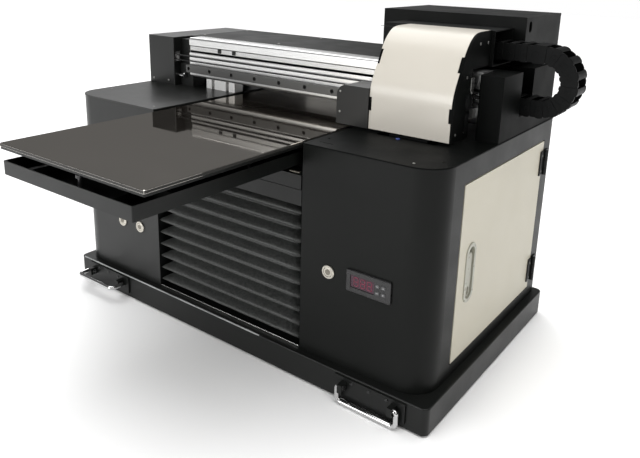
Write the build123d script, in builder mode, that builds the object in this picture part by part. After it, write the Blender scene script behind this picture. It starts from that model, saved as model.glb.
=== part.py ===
from build123d import *
import os
import math

os.makedirs("parts", exist_ok=True)

# ------------------------------------------------------------------
# Flatbed UV printer, millimetres, +Z up, +X along the print beam,
# +Y to the back. Origin: centre of the footprint on the floor.
# ------------------------------------------------------------------

# base
BASE_L, BASE_W = 802.0, 466.0
FOOT_H = 3.0
BASE_TOP = 46.3
BASE_T = 2.5

# cabinets
CAB_Y0, CAB_Y1 = -219.0, 222.0
LEFT_X0, LEFT_X1 = -401.0, -170.0
RIGHT_X0, RIGHT_X1 = 164.0, 387.0
CAB_TOP = 384.4
PLATE_T = 2.0
DECK = CAB_TOP + PLATE_T
CORNER_R = 45.0
WALL = 1.6

# door in the right side
DOOR_Y0, DOOR_Y1 = -141.0, 185.0
DOOR_Z0, DOOR_Z1 = 66.0, 351.0
DOOR_GAP = 2.0
DOOR_DEPTH = 13.0
HINGE_X, HINGE_Y = 391.6, 187.6

# front bellows between the cabinets
FOLD_Z0, FOLD_PITCH, FOLDS = 49.7, 23.6, 10
FOLD_DEPTH = 20.0
FOLD_TOP = FOLD_Z0 + FOLD_PITCH * FOLDS

# lift
LIFT_STROKE = 100.0
PLAT_BOT, PLAT_TOP = 311.0, 334.0
TOWER_Z0, TOWER_Z1 = 196.0, 204.0

# table
BED_X0, BED_X1 = -160.0, 155.0
BED_Y0, BED_Y1 = -504.0, 96.0
BED_TOP = 385.0
GLASS_T = 5.0
BEDPLATE_T = 4.5
FRAME_X0, FRAME_X1 = -139.0, 143.0
FRAME_Y0, FRAME_Y1 = -512.0, 90.0
FRAME_Z0, FRAME_Z1 = 344.4, 364.5

# gantry
GAN_Y0, GAN_Y1 = -34.0, 200.0
GAN_TOP = 486.4
LCOV_X0, LCOV_X1 = -401.0, -323.0
RCOV_X0, RCOV_X1 = 350.0, 387.0
BEAM_X0, BEAM_X1 = -285.0, 349.6
BEAM_Y0, BEAM_Y1 = -25.0, 15.0
BEAM_Z0, BEAM_Z1 = 408.5, 488.5
RAIL_Z = 427.0
RAIL_W, RAIL_H = 15.0, 12.5
RAIL_HOLE_PITCH = 60.0

# carriage belt on 16-tooth 2 mm pulleys
BELT_Z = 446.3
BELT_R = 5.09
BELT_T = 1.3
BELT_Y0, BELT_Y1 = -31.2, -26.2
IDLER_X, DRIVE_X = -345.0, 368.0

# carriage
CAR_X0, CAR_X1 = 197.5, 337.0
CAR_BOT = 391.0
COVER_T = 1.8

# drag chain
CH_X, CH_Z = 414.0, 473.0
CH_RO, CH_RI = 56.5, 27.0
CH_Y0, CH_Y1 = 45.0, 90.0
CH_UP_X, CH_LOW_X = 156.0, 60.0
SLOT_X0 = 205.0
SLOT_Y0, SLOT_Y1 = 42.0, 93.4

# carrying handles
HANDLE_X = 307.0
HANDLE_Z = 30.0
HANDLE_OFF = 10.0
ROD_R = 4.0


# ================= base =================

with BuildPart() as base_tray:
    with BuildSketch(Plane.XY.offset(FOOT_H)):
        RectangleRounded(BASE_L, BASE_W, 10)
    extrude(amount=BASE_TOP - FOOT_H)
    fillet(base_tray.faces().sort_by(Axis.Z)[-1].edges(), 2.0)
    with BuildSketch(Plane.XY.offset(FOOT_H)):
        RectangleRounded(BASE_L - 2 * BASE_T, BASE_W - 2 * BASE_T, 7.5)
    extrude(amount=BASE_TOP - FOOT_H - BASE_T, mode=Mode.SUBTRACT)
    with BuildSketch(Plane.XY.offset(FOOT_H)):
        RectangleRounded(BASE_L - BASE_T, BASE_W - BASE_T, 8.5)
    extrude(amount=BASE_T)
    with BuildSketch(Plane.XY.offset(BASE_TOP - BASE_T - 1)):
        with Locations((-285, 0), (275, 0)):
            RectangleRounded(120, 220, 12)
    extrude(amount=BASE_T + 2, mode=Mode.SUBTRACT)
base_tray.part.label = "base_tray"
export_step(base_tray.part, "parts/base_tray.step")

with BuildPart() as rubber_feet:
    with BuildSketch(Plane.XY):
        with Locations((-370, -214), (0, -214), (370, -214), (-370, 214), (0, 214), (370, 214), (0, 0)):
            Circle(13)
    extrude(amount=FOOT_H)
    chamfer(rubber_feet.faces().group_by(Axis.Z)[0].edges(), 0.8)
rubber_feet.part.label = "rubber_feet"
export_step(rubber_feet.part, "parts/rubber_feet.step")

# ================= cabinets =================

with BuildPart() as left_cabinet:
    with BuildSketch(Plane.XY.offset(BASE_TOP)):
        with Locations(((LEFT_X0 + LEFT_X1) / 2, (CAB_Y0 + CAB_Y1) / 2)):
            Rectangle(LEFT_X1 - LEFT_X0, CAB_Y1 - CAB_Y0)
        fillet(vertices().group_by(Axis.X)[0].sort_by(Axis.Y)[0], CORNER_R)
        fillet(vertices().group_by(Axis.X)[0].sort_by(Axis.Y)[-1], 6)
    extrude(amount=CAB_TOP - BASE_TOP)
    with BuildSketch(Plane.XY.offset(BASE_TOP)):
        with Locations(((LEFT_X0 + LEFT_X1) / 2, (CAB_Y0 + CAB_Y1) / 2)):
            Rectangle(LEFT_X1 - LEFT_X0 - 2 * WALL, CAB_Y1 - CAB_Y0 - 2 * WALL)
        fillet(vertices().group_by(Axis.X)[0].sort_by(Axis.Y)[0], CORNER_R - WALL)
        fillet(vertices().group_by(Axis.X)[0].sort_by(Axis.Y)[-1], 6 - WALL)
    extrude(amount=CAB_TOP - BASE_TOP, mode=Mode.SUBTRACT)
    # two holes for the push buttons in the front wall
    with BuildSketch(Plane.XZ.offset(-CAB_Y0 + 1)):
        with Locations((-273.0, 151.5), (-222.0, 151.5)):
            Circle(9.6)
    extrude(amount=-(WALL + 2), mode=Mode.SUBTRACT)
    # mains inlet cut-out in the back wall
    with BuildSketch(Plane.XZ.offset(-CAB_Y1 - 1)):
        with Locations((-300.0, 96.0)):
            Rectangle(27.4, 20.4)
    extrude(amount=WALL + 2, mode=Mode.SUBTRACT)
left_cabinet.part.label = "left_cabinet"
export_step(left_cabinet.part, "parts/left_cabinet.step")

with BuildPart() as left_top_plate:
    with BuildSketch(Plane.XY.offset(CAB_TOP)):
        with Locations(((LEFT_X0 + LEFT_X1) / 2 - 0.5, (CAB_Y0 + CAB_Y1) / 2 - 0.5)):
            Rectangle(LEFT_X1 - LEFT_X0 + 1, CAB_Y1 - CAB_Y0 + 1)
        fillet(vertices().group_by(Axis.X)[0].sort_by(Axis.Y)[0], CORNER_R + 1)
        fillet(vertices().group_by(Axis.X)[0].sort_by(Axis.Y)[-1], 6)
    extrude(amount=PLATE_T)
    chamfer(left_top_plate.faces().sort_by(Axis.Z)[-1].edges(), 0.4)
left_top_plate.part.label = "left_top_plate"
export_step(left_top_plate.part, "parts/left_top_plate.step")

CTRL_X0, CTRL_Z0, CTRL_W, CTRL_H = 251.0, 178.6, 75.0, 34.5

with BuildPart() as right_cabinet:
    with BuildSketch(Plane.XY.offset(BASE_TOP)):
        with Locations(((RIGHT_X0 + RIGHT_X1) / 2, (CAB_Y0 + CAB_Y1) / 2)):
            Rectangle(RIGHT_X1 - RIGHT_X0, CAB_Y1 - CAB_Y0)
        fillet(vertices().group_by(Axis.X)[-1].sort_by(Axis.Y)[0], CORNER_R)
        fillet(vertices().group_by(Axis.X)[-1].sort_by(Axis.Y)[-1], 6)
    extrude(amount=CAB_TOP - BASE_TOP)
    with BuildSketch(Plane.XY.offset(BASE_TOP)):
        with Locations(((RIGHT_X0 + RIGHT_X1) / 2, (CAB_Y0 + CAB_Y1) / 2)):
            Rectangle(RIGHT_X1 - RIGHT_X0 - 2 * WALL, CAB_Y1 - CAB_Y0 - 2 * WALL)
        fillet(vertices().group_by(Axis.X)[-1].sort_by(Axis.Y)[0], CORNER_R - WALL)
        fillet(vertices().group_by(Axis.X)[-1].sort_by(Axis.Y)[-1], 6 - WALL)
    extrude(amount=CAB_TOP - BASE_TOP, mode=Mode.SUBTRACT)
    # door opening
    with BuildSketch(Plane.YZ.offset(RIGHT_X1 + 1)):
        with Locations(((DOOR_Y0 + DOOR_Y1) / 2, (DOOR_Z0 + DOOR_Z1) / 2)):
            Rectangle(DOOR_Y1 - DOOR_Y0, DOOR_Z1 - DOOR_Z0)
    extrude(amount=-(WALL + 3), mode=Mode.SUBTRACT)
    # door stop flange behind the opening
    with BuildSketch(Plane.YZ.offset(RIGHT_X1 - WALL - DOOR_DEPTH - 1.4)):
        with Locations(((DOOR_Y0 + DOOR_Y1) / 2, (DOOR_Z0 + DOOR_Z1) / 2)):
            Rectangle(DOOR_Y1 - DOOR_Y0 + 2 * WALL, DOOR_Z1 - DOOR_Z0 + 2 * WALL)
            Rectangle(DOOR_Y1 - DOOR_Y0 - 16, DOOR_Z1 - DOOR_Z0 - 16, mode=Mode.SUBTRACT)
    extrude(amount=WALL)
    with BuildSketch(Plane.YZ.offset(RIGHT_X1 - WALL - DOOR_DEPTH - 1.4)):
        with Locations(((DOOR_Y0 + DOOR_Y1) / 2, (DOOR_Z0 + DOOR_Z1) / 2)):
            Rectangle(DOOR_Y1 - DOOR_Y0 + 2 * WALL, DOOR_Z1 - DOOR_Z0 + 2 * WALL)
            Rectangle(DOOR_Y1 - DOOR_Y0, DOOR_Z1 - DOOR_Z0, mode=Mode.SUBTRACT)
    extrude(amount=DOOR_DEPTH + 1.4 + WALL)
    # push button hole and controller cut-out in the front wall
    with BuildSketch(Plane.XZ.offset(-CAB_Y0 + 1)):
        with Locations((216.4, 195.4)):
            Circle(9.6)
        with Locations((CTRL_X0 + CTRL_W / 2, CTRL_Z0 + CTRL_H / 2)):
            Rectangle(71.4, 29.4)
    extrude(amount=-(WALL + 2), mode=Mode.SUBTRACT)
right_cabinet.part.label = "right_cabinet"
export_step(right_cabinet.part, "parts/right_cabinet.step")

with BuildPart() as right_top_plate:
    with BuildSketch(Plane.XY.offset(CAB_TOP)):
        with Locations(((RIGHT_X0 + RIGHT_X1) / 2 + 0.5, (CAB_Y0 + CAB_Y1) / 2 - 0.5)):
            Rectangle(RIGHT_X1 - RIGHT_X0 + 1, CAB_Y1 - CAB_Y0 + 1)
        fillet(vertices().group_by(Axis.X)[-1].sort_by(Axis.Y)[0], CORNER_R + 1)
        fillet(vertices().group_by(Axis.X)[-1].sort_by(Axis.Y)[-1], 6)
        # opening over the capping station
        with Locations((268.0, -72.0)):
            RectangleRounded(104.0, 60.0, 4, mode=Mode.SUBTRACT)
        # cable slot near the front edge
        with Locations((191.0, -198.0)):
            SlotOverall(24.0, 1.6, mode=Mode.SUBTRACT)
    extrude(amount=PLATE_T)
    with BuildSketch(Plane.XY.offset(CAB_TOP)):
        with Locations((178.4, -174.3), (367.9, -172.9)):
            Circle(2.1)
    extrude(amount=PLATE_T, mode=Mode.SUBTRACT)
    chamfer(right_top_plate.faces().sort_by(Axis.Z)[-1].outer_wire().edges(), 0.4)
right_top_plate.part.label = "right_top_plate"
export_step(right_top_plate.part, "parts/right_top_plate.step")

with BuildPart() as rear_panel:
    with BuildSketch(Plane.XZ.offset(-CAB_Y1)):
        with Locations(((LEFT_X1 + RIGHT_X0) / 2, (BASE_TOP + 232.0) / 2)):
            Rectangle(RIGHT_X0 - LEFT_X1 - 0.6, 232.0 - BASE_TOP)
    extrude(amount=WALL)
    with BuildSketch(Plane.XY.offset(BASE_TOP)):
        with Locations(((LEFT_X1 + RIGHT_X0) / 2, CAB_Y1 - WALL - 8)):
            Rectangle(RIGHT_X0 - LEFT_X1 - 0.6, 16.0)
    extrude(amount=WALL)
    # vent slots
    with BuildSketch(Plane.XZ.offset(-CAB_Y1 - 1)):
        with Locations((-3.0, 138.0)):
            with GridLocations(70.0, 14.0, 4, 6):
                SlotOverall(54.0, 5.0)
    extrude(amount=WALL + 2, mode=Mode.SUBTRACT)
rear_panel.part.label = "rear_panel"
export_step(rear_panel.part, "parts/rear_panel.step")

# ================= cabinet door =================

DY0, DY1 = DOOR_Y0 + DOOR_GAP, DOOR_Y1 - DOOR_GAP
DZ0, DZ1 = DOOR_Z0 + DOOR_GAP, DOOR_Z1 - DOOR_GAP
LATCH_Y, LATCH_Z = -98.5, 202.5
LATCH_L, LATCH_W = 96.0, 33.0

with BuildPart() as cabinet_door:
    with BuildSketch(Plane.YZ.offset(RIGHT_X1 + 0.4)):
        with Locations(((DY0 + DY1) / 2, (DZ0 + DZ1) / 2)):
            RectangleRounded(DY1 - DY0, DZ1 - DZ0, 1.5)
    extrude(amount=-DOOR_DEPTH)
    with BuildSketch(Plane.YZ.offset(RIGHT_X1 + 0.4 - 1.5)):
        with Locations(((DY0 + DY1) / 2, (DZ0 + DZ1) / 2)):
            RectangleRounded(DY1 - DY0 - 3.0, DZ1 - DZ0 - 3.0, 0.6)
    extrude(amount=-DOOR_DEPTH, mode=Mode.SUBTRACT)
    with BuildSketch(Plane.YZ.offset(RIGHT_X1 + 2)):
        with Locations((LATCH_Y, LATCH_Z)):
            SlotOverall(LATCH_L - 8, LATCH_W - 8, rotation=90)
    extrude(amount=-6, mode=Mode.SUBTRACT)
cabinet_door.part.label = "cabinet_door"
export_step(cabinet_door.part, "parts/cabinet_door.step")

with BuildPart() as door_latch_cup:
    # flange on the door's face, and a dished cup behind it
    with BuildSketch(Plane.YZ.offset(RIGHT_X1 + 0.4)):
        with Locations((LATCH_Y, LATCH_Z)):
            SlotOverall(LATCH_L, LATCH_W, rotation=90)
    extrude(amount=1.6)
    fillet(door_latch_cup.faces().sort_by(Axis.X)[-1].edges(), 0.7)
    with BuildSketch(Plane.YZ.offset(RIGHT_X1 + 0.4)):
        with Locations((LATCH_Y, LATCH_Z)):
            SlotOverall(LATCH_L - 8.4, LATCH_W - 8.4, rotation=90)
    extrude(amount=-10.5)
    with BuildSketch(Plane.YZ.offset(RIGHT_X1 + 2.5)):
        with Locations((LATCH_Y, LATCH_Z)):
            SlotOverall(LATCH_L - 12, LATCH_W - 12, rotation=90)
    extrude(amount=-11.0, mode=Mode.SUBTRACT)
    # pivot bosses inside the cup, near its top
    with BuildSketch(Plane.XZ.offset(-(LATCH_Y - 10.9))):
        with Locations((RIGHT_X1 - 2.8, LATCH_Z + 30)):
            Circle(2.6)
    extrude(amount=-1.4)
    with BuildSketch(Plane.XZ.offset(-(LATCH_Y + 10.9))):
        with Locations((RIGHT_X1 - 2.8, LATCH_Z + 30)):
            Circle(2.6)
    extrude(amount=1.4)
door_latch_cup.part.label = "door_latch_cup"
export_step(door_latch_cup.part, "parts/door_latch_cup.step")

with BuildPart() as door_latch_lever:
    with BuildSketch(Plane.YZ.offset(RIGHT_X1 - 4.6)):
        with Locations((LATCH_Y, LATCH_Z - 4)):
            SlotOverall(72.0, 17.6, rotation=90)
    extrude(amount=4.4)
    fillet(door_latch_lever.faces().sort_by(Axis.X)[-1].edges(), 1.4)
    with BuildSketch(Plane.YZ.offset(RIGHT_X1 + 1)):
        with Locations((LATCH_Y, LATCH_Z - 30)):
            SlotOverall(14.0, 8.0, rotation=90)
    extrude(amount=-3.4, mode=Mode.SUBTRACT)
door_latch_lever.part.label = "door_latch_lever"
export_step(door_latch_lever.part, "parts/door_latch_lever.step")

HINGE_Z = (310.0, 105.0)

with BuildPart() as door_hinge_leaves:
    for hz in HINGE_Z:
        # cabinet leaf with the two outer knuckles and the pin
        with BuildSketch(Plane.XY.offset(hz - 22)):
            with Locations((RIGHT_X1 + 1.2, HINGE_Y + 10)):
                Rectangle(2.4, 14)
            with Locations((HINGE_X - 1.2, HINGE_Y + 1.8)):
                Rectangle(4.0, 4.0)
            with Locations((HINGE_X, HINGE_Y)):
                Circle(3.8)
        extrude(amount=14.5)
        with BuildSketch(Plane.XY.offset(hz + 7.5)):
            with Locations((RIGHT_X1 + 1.2, HINGE_Y + 10)):
                Rectangle(2.4, 14)
            with Locations((HINGE_X - 1.2, HINGE_Y + 1.8)):
                Rectangle(4.0, 4.0)
            with Locations((HINGE_X, HINGE_Y)):
                Circle(3.8)
        extrude(amount=14.5)
        with BuildSketch(Plane.XY.offset(hz - 7.5)):
            with Locations((RIGHT_X1 + 1.2, HINGE_Y + 11.6)):
                Rectangle(2.4, 10.8)
            with Locations((HINGE_X, HINGE_Y)):
                Circle(2.0)
        extrude(amount=15.0)
door_hinge_leaves.part.label = "door_hinge_leaves"
export_step(door_hinge_leaves.part, "parts/door_hinge_leaves.step")

with BuildPart() as door_hinge_arms:
    for hz in HINGE_Z:
        with BuildSketch(Plane.XY.offset(hz - 7.1)):
            with Locations((HINGE_X, HINGE_Y)):
                Circle(3.8)
            with Locations((HINGE_X - 1.1, HINGE_Y - 2.6)):
                Rectangle(5.0, 5.2)
            with Locations((HINGE_X, HINGE_Y)):
                Circle(2.06, mode=Mode.SUBTRACT)
        extrude(amount=14.2)
        with BuildSketch(Plane.XY.offset(hz - 22)):
            with Locations((RIGHT_X1 + 0.4 + 1.2, HINGE_Y - 11.5)):
                Rectangle(2.4, 13)
        extrude(amount=44)
door_hinge_arms.part.label = "door_hinge_arms"
export_step(door_hinge_arms.part, "parts/door_hinge_arms.step")

# ================= front controls =================

BUTTONS = ((-273.0, 151.5), (-222.0, 151.5), (216.4, 195.4))

with BuildPart() as button_bezels:
    with BuildSketch(Plane.XZ.offset(-CAB_Y0)):
        with Locations(*BUTTONS):
            Circle(11.0)
    extrude(amount=2.2)
    chamfer(button_bezels.faces().group_by(Axis.Y)[0].edges(), 0.8)
    with BuildSketch(Plane.XZ.offset(-CAB_Y0)):
        with Locations(*BUTTONS):
            Circle(9.4)
    extrude(amount=-24.0)
    with BuildSketch(Plane.XZ.offset(-CAB_Y0 + 3)):
        with Locations(*BUTTONS):
            Circle(7.8)
    extrude(amount=-20.0, mode=Mode.SUBTRACT)
button_bezels.part.label = "button_bezels"
export_step(button_bezels.part, "parts/button_bezels.step")

with BuildPart() as left_button_outer:
    with BuildSketch(Plane.XZ.offset(-CAB_Y0 + 2.0)):
        with Locations(BUTTONS[0]):
            Circle(7.4)
    extrude(amount=-14.0)
    fillet(left_button_outer.faces().sort_by(Axis.Y)[0].edges(), 0.6)
left_button_outer.part.label = "left_button_outer"
export_step(left_button_outer.part, "parts/left_button_outer.step")

with BuildPart() as left_button_inner:
    with BuildSketch(Plane.XZ.offset(-CAB_Y0 + 2.0)):
        with Locations(BUTTONS[1]):
            Circle(7.4)
    extrude(amount=-14.0)
    fillet(left_button_inner.faces().sort_by(Axis.Y)[0].edges(), 0.6)
left_button_inner.part.label = "left_button_inner"
export_step(left_button_inner.part, "parts/left_button_inner.step")

with BuildPart() as right_button:
    with BuildSketch(Plane.XZ.offset(-CAB_Y0 + 2.0)):
        with Locations(BUTTONS[2]):
            Circle(7.4)
    extrude(amount=-14.0)
    fillet(right_button.faces().sort_by(Axis.Y)[0].edges(), 0.6)
right_button.part.label = "right_button"
export_step(right_button.part, "parts/right_button.step")

# panel temperature controller: 75 x 34.5 bezel, 71 x 29 body
KEY_W, KEY_H = 7.0, 5.6
KEYS = ((304.6, 201.2), (314.6, 201.2), (304.6, 190.6), (314.6, 190.6))
CTRL_FACE = 4.0

with BuildPart() as temperature_controller:
    with BuildSketch(Plane.XZ.offset(-CAB_Y0)):
        with Locations((CTRL_X0 + CTRL_W / 2, CTRL_Z0 + CTRL_H / 2)):
            RectangleRounded(CTRL_W, CTRL_H, 2.0)
    extrude(amount=CTRL_FACE)
    chamfer(temperature_controller.faces().sort_by(Axis.Y)[0].edges(), 1.0)
    with BuildSketch(Plane.XZ.offset(-CAB_Y0)):
        with Locations((CTRL_X0 + CTRL_W / 2, CTRL_Z0 + CTRL_H / 2)):
            Rectangle(71.0, 29.0)
    extrude(amount=-70.0)
    # display recess
    with BuildSketch(Plane.XZ.offset(-CAB_Y0 + CTRL_FACE + 0.5)):
        with Locations((CTRL_X0 + 28.0, CTRL_Z0 + CTRL_H / 2 + 0.4)):
            RectangleRounded(41.0, 20.0, 1.0)
    extrude(amount=-2.0, mode=Mode.SUBTRACT)
    # key pockets
    with BuildSketch(Plane.XZ.offset(-CAB_Y0 + CTRL_FACE + 0.5)):
        with Locations(*KEYS):
            RectangleRounded(KEY_W + 0.8, KEY_H + 0.8, 1.4)
    extrude(amount=-5.5, mode=Mode.SUBTRACT)
temperature_controller.part.label = "temperature_controller"
export_step(temperature_controller.part, "parts/temperature_controller.step")

with BuildPart() as key_upper_left:
    with BuildSketch(Plane.XZ.offset(-CAB_Y0 + CTRL_FACE + 0.6)):
        with Locations(KEYS[0]):
            RectangleRounded(KEY_W, KEY_H, 1.0)
    extrude(amount=-4.4)
    fillet(key_upper_left.faces().sort_by(Axis.Y)[0].edges(), 0.4)
key_upper_left.part.label = "key_upper_left"
export_step(key_upper_left.part, "parts/key_upper_left.step")

with BuildPart() as key_upper_right:
    with BuildSketch(Plane.XZ.offset(-CAB_Y0 + CTRL_FACE + 0.6)):
        with Locations(KEYS[1]):
            RectangleRounded(KEY_W, KEY_H, 1.0)
    extrude(amount=-4.4)
    fillet(key_upper_right.faces().sort_by(Axis.Y)[0].edges(), 0.4)
key_upper_right.part.label = "key_upper_right"
export_step(key_upper_right.part, "parts/key_upper_right.step")

with BuildPart() as key_lower_left:
    with BuildSketch(Plane.XZ.offset(-CAB_Y0 + CTRL_FACE + 0.6)):
        with Locations(KEYS[2]):
            RectangleRounded(KEY_W, KEY_H, 1.0)
    extrude(amount=-4.4)
    fillet(key_lower_left.faces().sort_by(Axis.Y)[0].edges(), 0.4)
key_lower_left.part.label = "key_lower_left"
export_step(key_lower_left.part, "parts/key_lower_left.step")

with BuildPart() as key_lower_right:
    with BuildSketch(Plane.XZ.offset(-CAB_Y0 + CTRL_FACE + 0.6)):
        with Locations(KEYS[3]):
            RectangleRounded(KEY_W, KEY_H, 1.0)
    extrude(amount=-4.4)
    fillet(key_lower_right.faces().sort_by(Axis.Y)[0].edges(), 0.4)
key_lower_right.part.label = "key_lower_right"
export_step(key_lower_right.part, "parts/key_lower_right.step")

# mains inlet, three-pin appliance type, in the left cabinet's back wall
with BuildPart() as power_inlet:
    with BuildSketch(Plane.XZ.offset(-CAB_Y1)):
        with Locations((-300.0, 96.0)):
            RectangleRounded(50.0, 28.0, 3.0)
    extrude(amount=-2.6)
    with BuildSketch(Plane.XZ.offset(-CAB_Y1)):
        with Locations((-300.0, 96.0)):
            Rectangle(27.0, 20.0)
    extrude(amount=20.0)
    with BuildSketch(Plane.XZ.offset(-CAB_Y1 - 3)):
        with Locations((-300.0, 96.0)):
            Rectangle(24.4, 16.6)
    extrude(amount=18.5, mode=Mode.SUBTRACT)
    with BuildSketch(Plane.XZ.offset(-CAB_Y1 + 16.0)):
        with Locations((-307.0, 94.0), (-300.0, 98.0), (-293.0, 94.0)):
            Rectangle(2.0, 5.0)
    extrude(amount=-15.0)
power_inlet.part.label = "power_inlet"
export_step(power_inlet.part, "parts/power_inlet.step")

# ================= bellows =================

with BuildPart() as front_bellows:
    with BuildLine() as fold_path:
        Polyline((-148.0, 150.0), (-148.0, CAB_Y0 + 1 + FOLD_DEPTH),
                 (142.0, CAB_Y0 + 1 + FOLD_DEPTH), (142.0, 150.0))
    zig = []
    for k in range(FOLDS):
        zig.append((0.0, FOLD_Z0 + FOLD_PITCH * k))
        zig.append((FOLD_DEPTH, FOLD_Z0 + FOLD_PITCH * (k + 0.5)))
    zig.append((0.0, FOLD_TOP))
    back = [(x - 2.2, z) for x, z in reversed(zig)]
    with BuildSketch(Plane(origin=(-148.0, 150.0, 0.0), x_dir=(-1, 0, 0), z_dir=(0, 1, 0))) as fold_profile:
        with BuildLine():
            Polyline(*(zig + back), close=True)
        make_face()
    sweep(sections=fold_profile.sketch, path=fold_path.line, transition=Transition.RIGHT)
front_bellows.part.label = "front_bellows"
export_step(front_bellows.part, "parts/front_bellows.step")

# ================= lift =================

SHAFTS = ((-118.0, -130.0), (112.0, -130.0), (-118.0, 140.0), (112.0, 140.0))
SHAFT_R = 8.0

with BuildPart() as lift_tower:
    # raised plate on four legs, with a guide sleeve for each shaft
    with BuildSketch(Plane.XY.offset(TOWER_Z0)):
        with Locations((-3.0, 5.0)):
            RectangleRounded(276.0, 322.0, 8)
            RectangleRounded(180.0, 200.0, 8, mode=Mode.SUBTRACT)
    extrude(amount=TOWER_Z1 - TOWER_Z0)
    with BuildSketch(Plane.XY.offset(BASE_TOP)):
        with Locations((-128.0, -90.0), (122.0, -90.0), (-128.0, 100.0), (122.0, 100.0)):
            Rectangle(20.0, 40.0)
    extrude(amount=TOWER_Z0 - BASE_TOP)
    with BuildSketch(Plane.XY.offset(TOWER_Z0 - 26)):
        with Locations(*SHAFTS):
            Circle(14.0)
    extrude(amount=26 + TOWER_Z1 - TOWER_Z0 + 4)
    with BuildSketch(Plane.XY.offset(TOWER_Z0 - 27)):
        with Locations(*SHAFTS):
            Circle(SHAFT_R + 0.06)
    extrude(amount=50, mode=Mode.SUBTRACT)
lift_tower.part.label = "lift_tower"
export_step(lift_tower.part, "parts/lift_tower.step")

with BuildPart() as lift_guide_shafts:
    with BuildSketch(Plane.XY.offset(160.0)):
        with Locations(*SHAFTS):
            Circle(8.0)
    extrude(amount=PLAT_TOP - 2 - 160.0)
    chamfer(lift_guide_shafts.faces().group_by(Axis.Z)[0].edges(), 1.0)
lift_guide_shafts.part.label = "lift_guide_shafts"
export_step(lift_guide_shafts.part, "parts/lift_guide_shafts.step")

with BuildPart() as lift_platform:
    with BuildSketch(Plane.XY.offset(PLAT_BOT)):
        with Locations((-3.0, -7.0)):
            Rectangle(326.0, 420.0)
    extrude(amount=PLAT_TOP - PLAT_BOT)
    with BuildSketch(Plane.XY.offset(PLAT_BOT)):
        with Locations((-3.0, -7.0)):
            Rectangle(322.0, 416.0)
    extrude(amount=PLAT_TOP - PLAT_BOT - 2.0, mode=Mode.SUBTRACT)
lift_platform.part.label = "lift_platform"
export_step(lift_platform.part, "parts/lift_platform.step")

with BuildPart() as bellows_top_strip:
    with BuildSketch(Plane.XY.offset(FOLD_TOP + 0.4)):
        with Locations((-3.0, -204.0)):
            Rectangle(330.0, 28.0)
            with Locations((0.0, 2.5)):
                Rectangle(326.0, 25.0, mode=Mode.SUBTRACT)
    extrude(amount=PLAT_BOT - FOLD_TOP - 0.4)
    with BuildSketch(Plane.XY.offset(PLAT_BOT - 2.0)):
        with Locations((-3.0, -203.0)):
            Rectangle(328.0, 26.0)
    extrude(amount=2.0)
bellows_top_strip.part.label = "bellows_top_strip"
export_step(bellows_top_strip.part, "parts/bellows_top_strip.step")

# linear bearing blocks on the platform; the rails ride on the table
BLOCKS = ((-108.0, -50.0), (102.0, -50.0), (-108.0, 10.0), (102.0, 10.0))

with BuildPart() as table_blocks:
    with BuildSketch(Plane.XY.offset(PLAT_TOP)):
        with Locations(*BLOCKS):
            Rectangle(27.0, 45.0)
    extrude(amount=10.0)
    with BuildSketch(Plane.XY.offset(PLAT_TOP + 4.4)):
        with Locations(*BLOCKS):
            Rectangle(12.6, 47.0)
    extrude(amount=10.0, mode=Mode.SUBTRACT)
table_blocks.part.label = "table_blocks"
export_step(table_blocks.part, "parts/table_blocks.step")

# ================= table =================

with BuildPart() as table_frame:
    with BuildSketch(Plane.XY.offset(FRAME_Z0)):
        with Locations(((FRAME_X0 + FRAME_X1) / 2, (FRAME_Y0 + FRAME_Y1) / 2)):
            RectangleRounded(FRAME_X1 - FRAME_X0, FRAME_Y1 - FRAME_Y0, 2)
    extrude(amount=FRAME_Z1 - FRAME_Z0)
    with BuildSketch(Plane.XY.offset(FRAME_Z0 + 1.6)):
        with Locations(((FRAME_X0 + FRAME_X1) / 2, (FRAME_Y0 + FRAME_Y1) / 2)):
            Rectangle(FRAME_X1 - FRAME_X0 - 4.0, FRAME_Y1 - FRAME_Y0 - 4.0)
    extrude(amount=FRAME_Z1 - FRAME_Z0, mode=Mode.SUBTRACT)
    # two stiffening bars along the travel and three across it
    with BuildSketch(Plane.XY.offset(FRAME_Z0 + 1.0)):
        with Locations((-86.0, (FRAME_Y0 + FRAME_Y1) / 2), (90.0, (FRAME_Y0 + FRAME_Y1) / 2)):
            Rectangle(8.0, FRAME_Y1 - FRAME_Y0 - 3.0)
        with Locations((2.0, -440.0), (2.0, -231.0), (2.0, 0.0)):
            Rectangle(FRAME_X1 - FRAME_X0 - 3.0, 8.0)
    extrude(amount=FRAME_Z1 - FRAME_Z0 - 5.0)
table_frame.part.label = "table_frame"
export_step(table_frame.part, "parts/table_frame.step")

with BuildPart() as table_rails:
    with BuildSketch(Plane.XY.offset(PLAT_TOP + 5.0)):
        with Locations((-108.0, -193.0), (102.0, -193.0)):
            Rectangle(12.0, 554.0)
    extrude(amount=FRAME_Z0 - PLAT_TOP - 5.0)
table_rails.part.label = "table_rails"
export_step(table_rails.part, "parts/table_rails.step")

# levelling posts: a waisted stud between the frame and the bed plate
POSTS = ((24.0, -500.0), (-118.0, -290.0), (122.0, -290.0), (-118.0, 70.0), (122.0, 70.0))
POST_Z0 = FRAME_Z0 + 1.6

with BuildPart() as table_posts:
    with BuildSketch(Plane.XY.offset(POST_Z0)):
        with Locations(*POSTS):
            Circle(6.0)
    extrude(amount=4.0)
    with BuildSketch(Plane.XY.offset(POST_Z0 + 4.0)):
        with Locations(*POSTS):
            Circle(2.6)
    extrude(amount=BED_TOP - GLASS_T - BEDPLATE_T - POST_Z0 - 8.0)
    with BuildSketch(Plane.XY.offset(BED_TOP - GLASS_T - BEDPLATE_T - 4.0)):
        with Locations(*POSTS):
            Circle(5.0)
    extrude(amount=4.0)
table_posts.part.label = "table_posts"
export_step(table_posts.part, "parts/table_posts.step")

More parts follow.
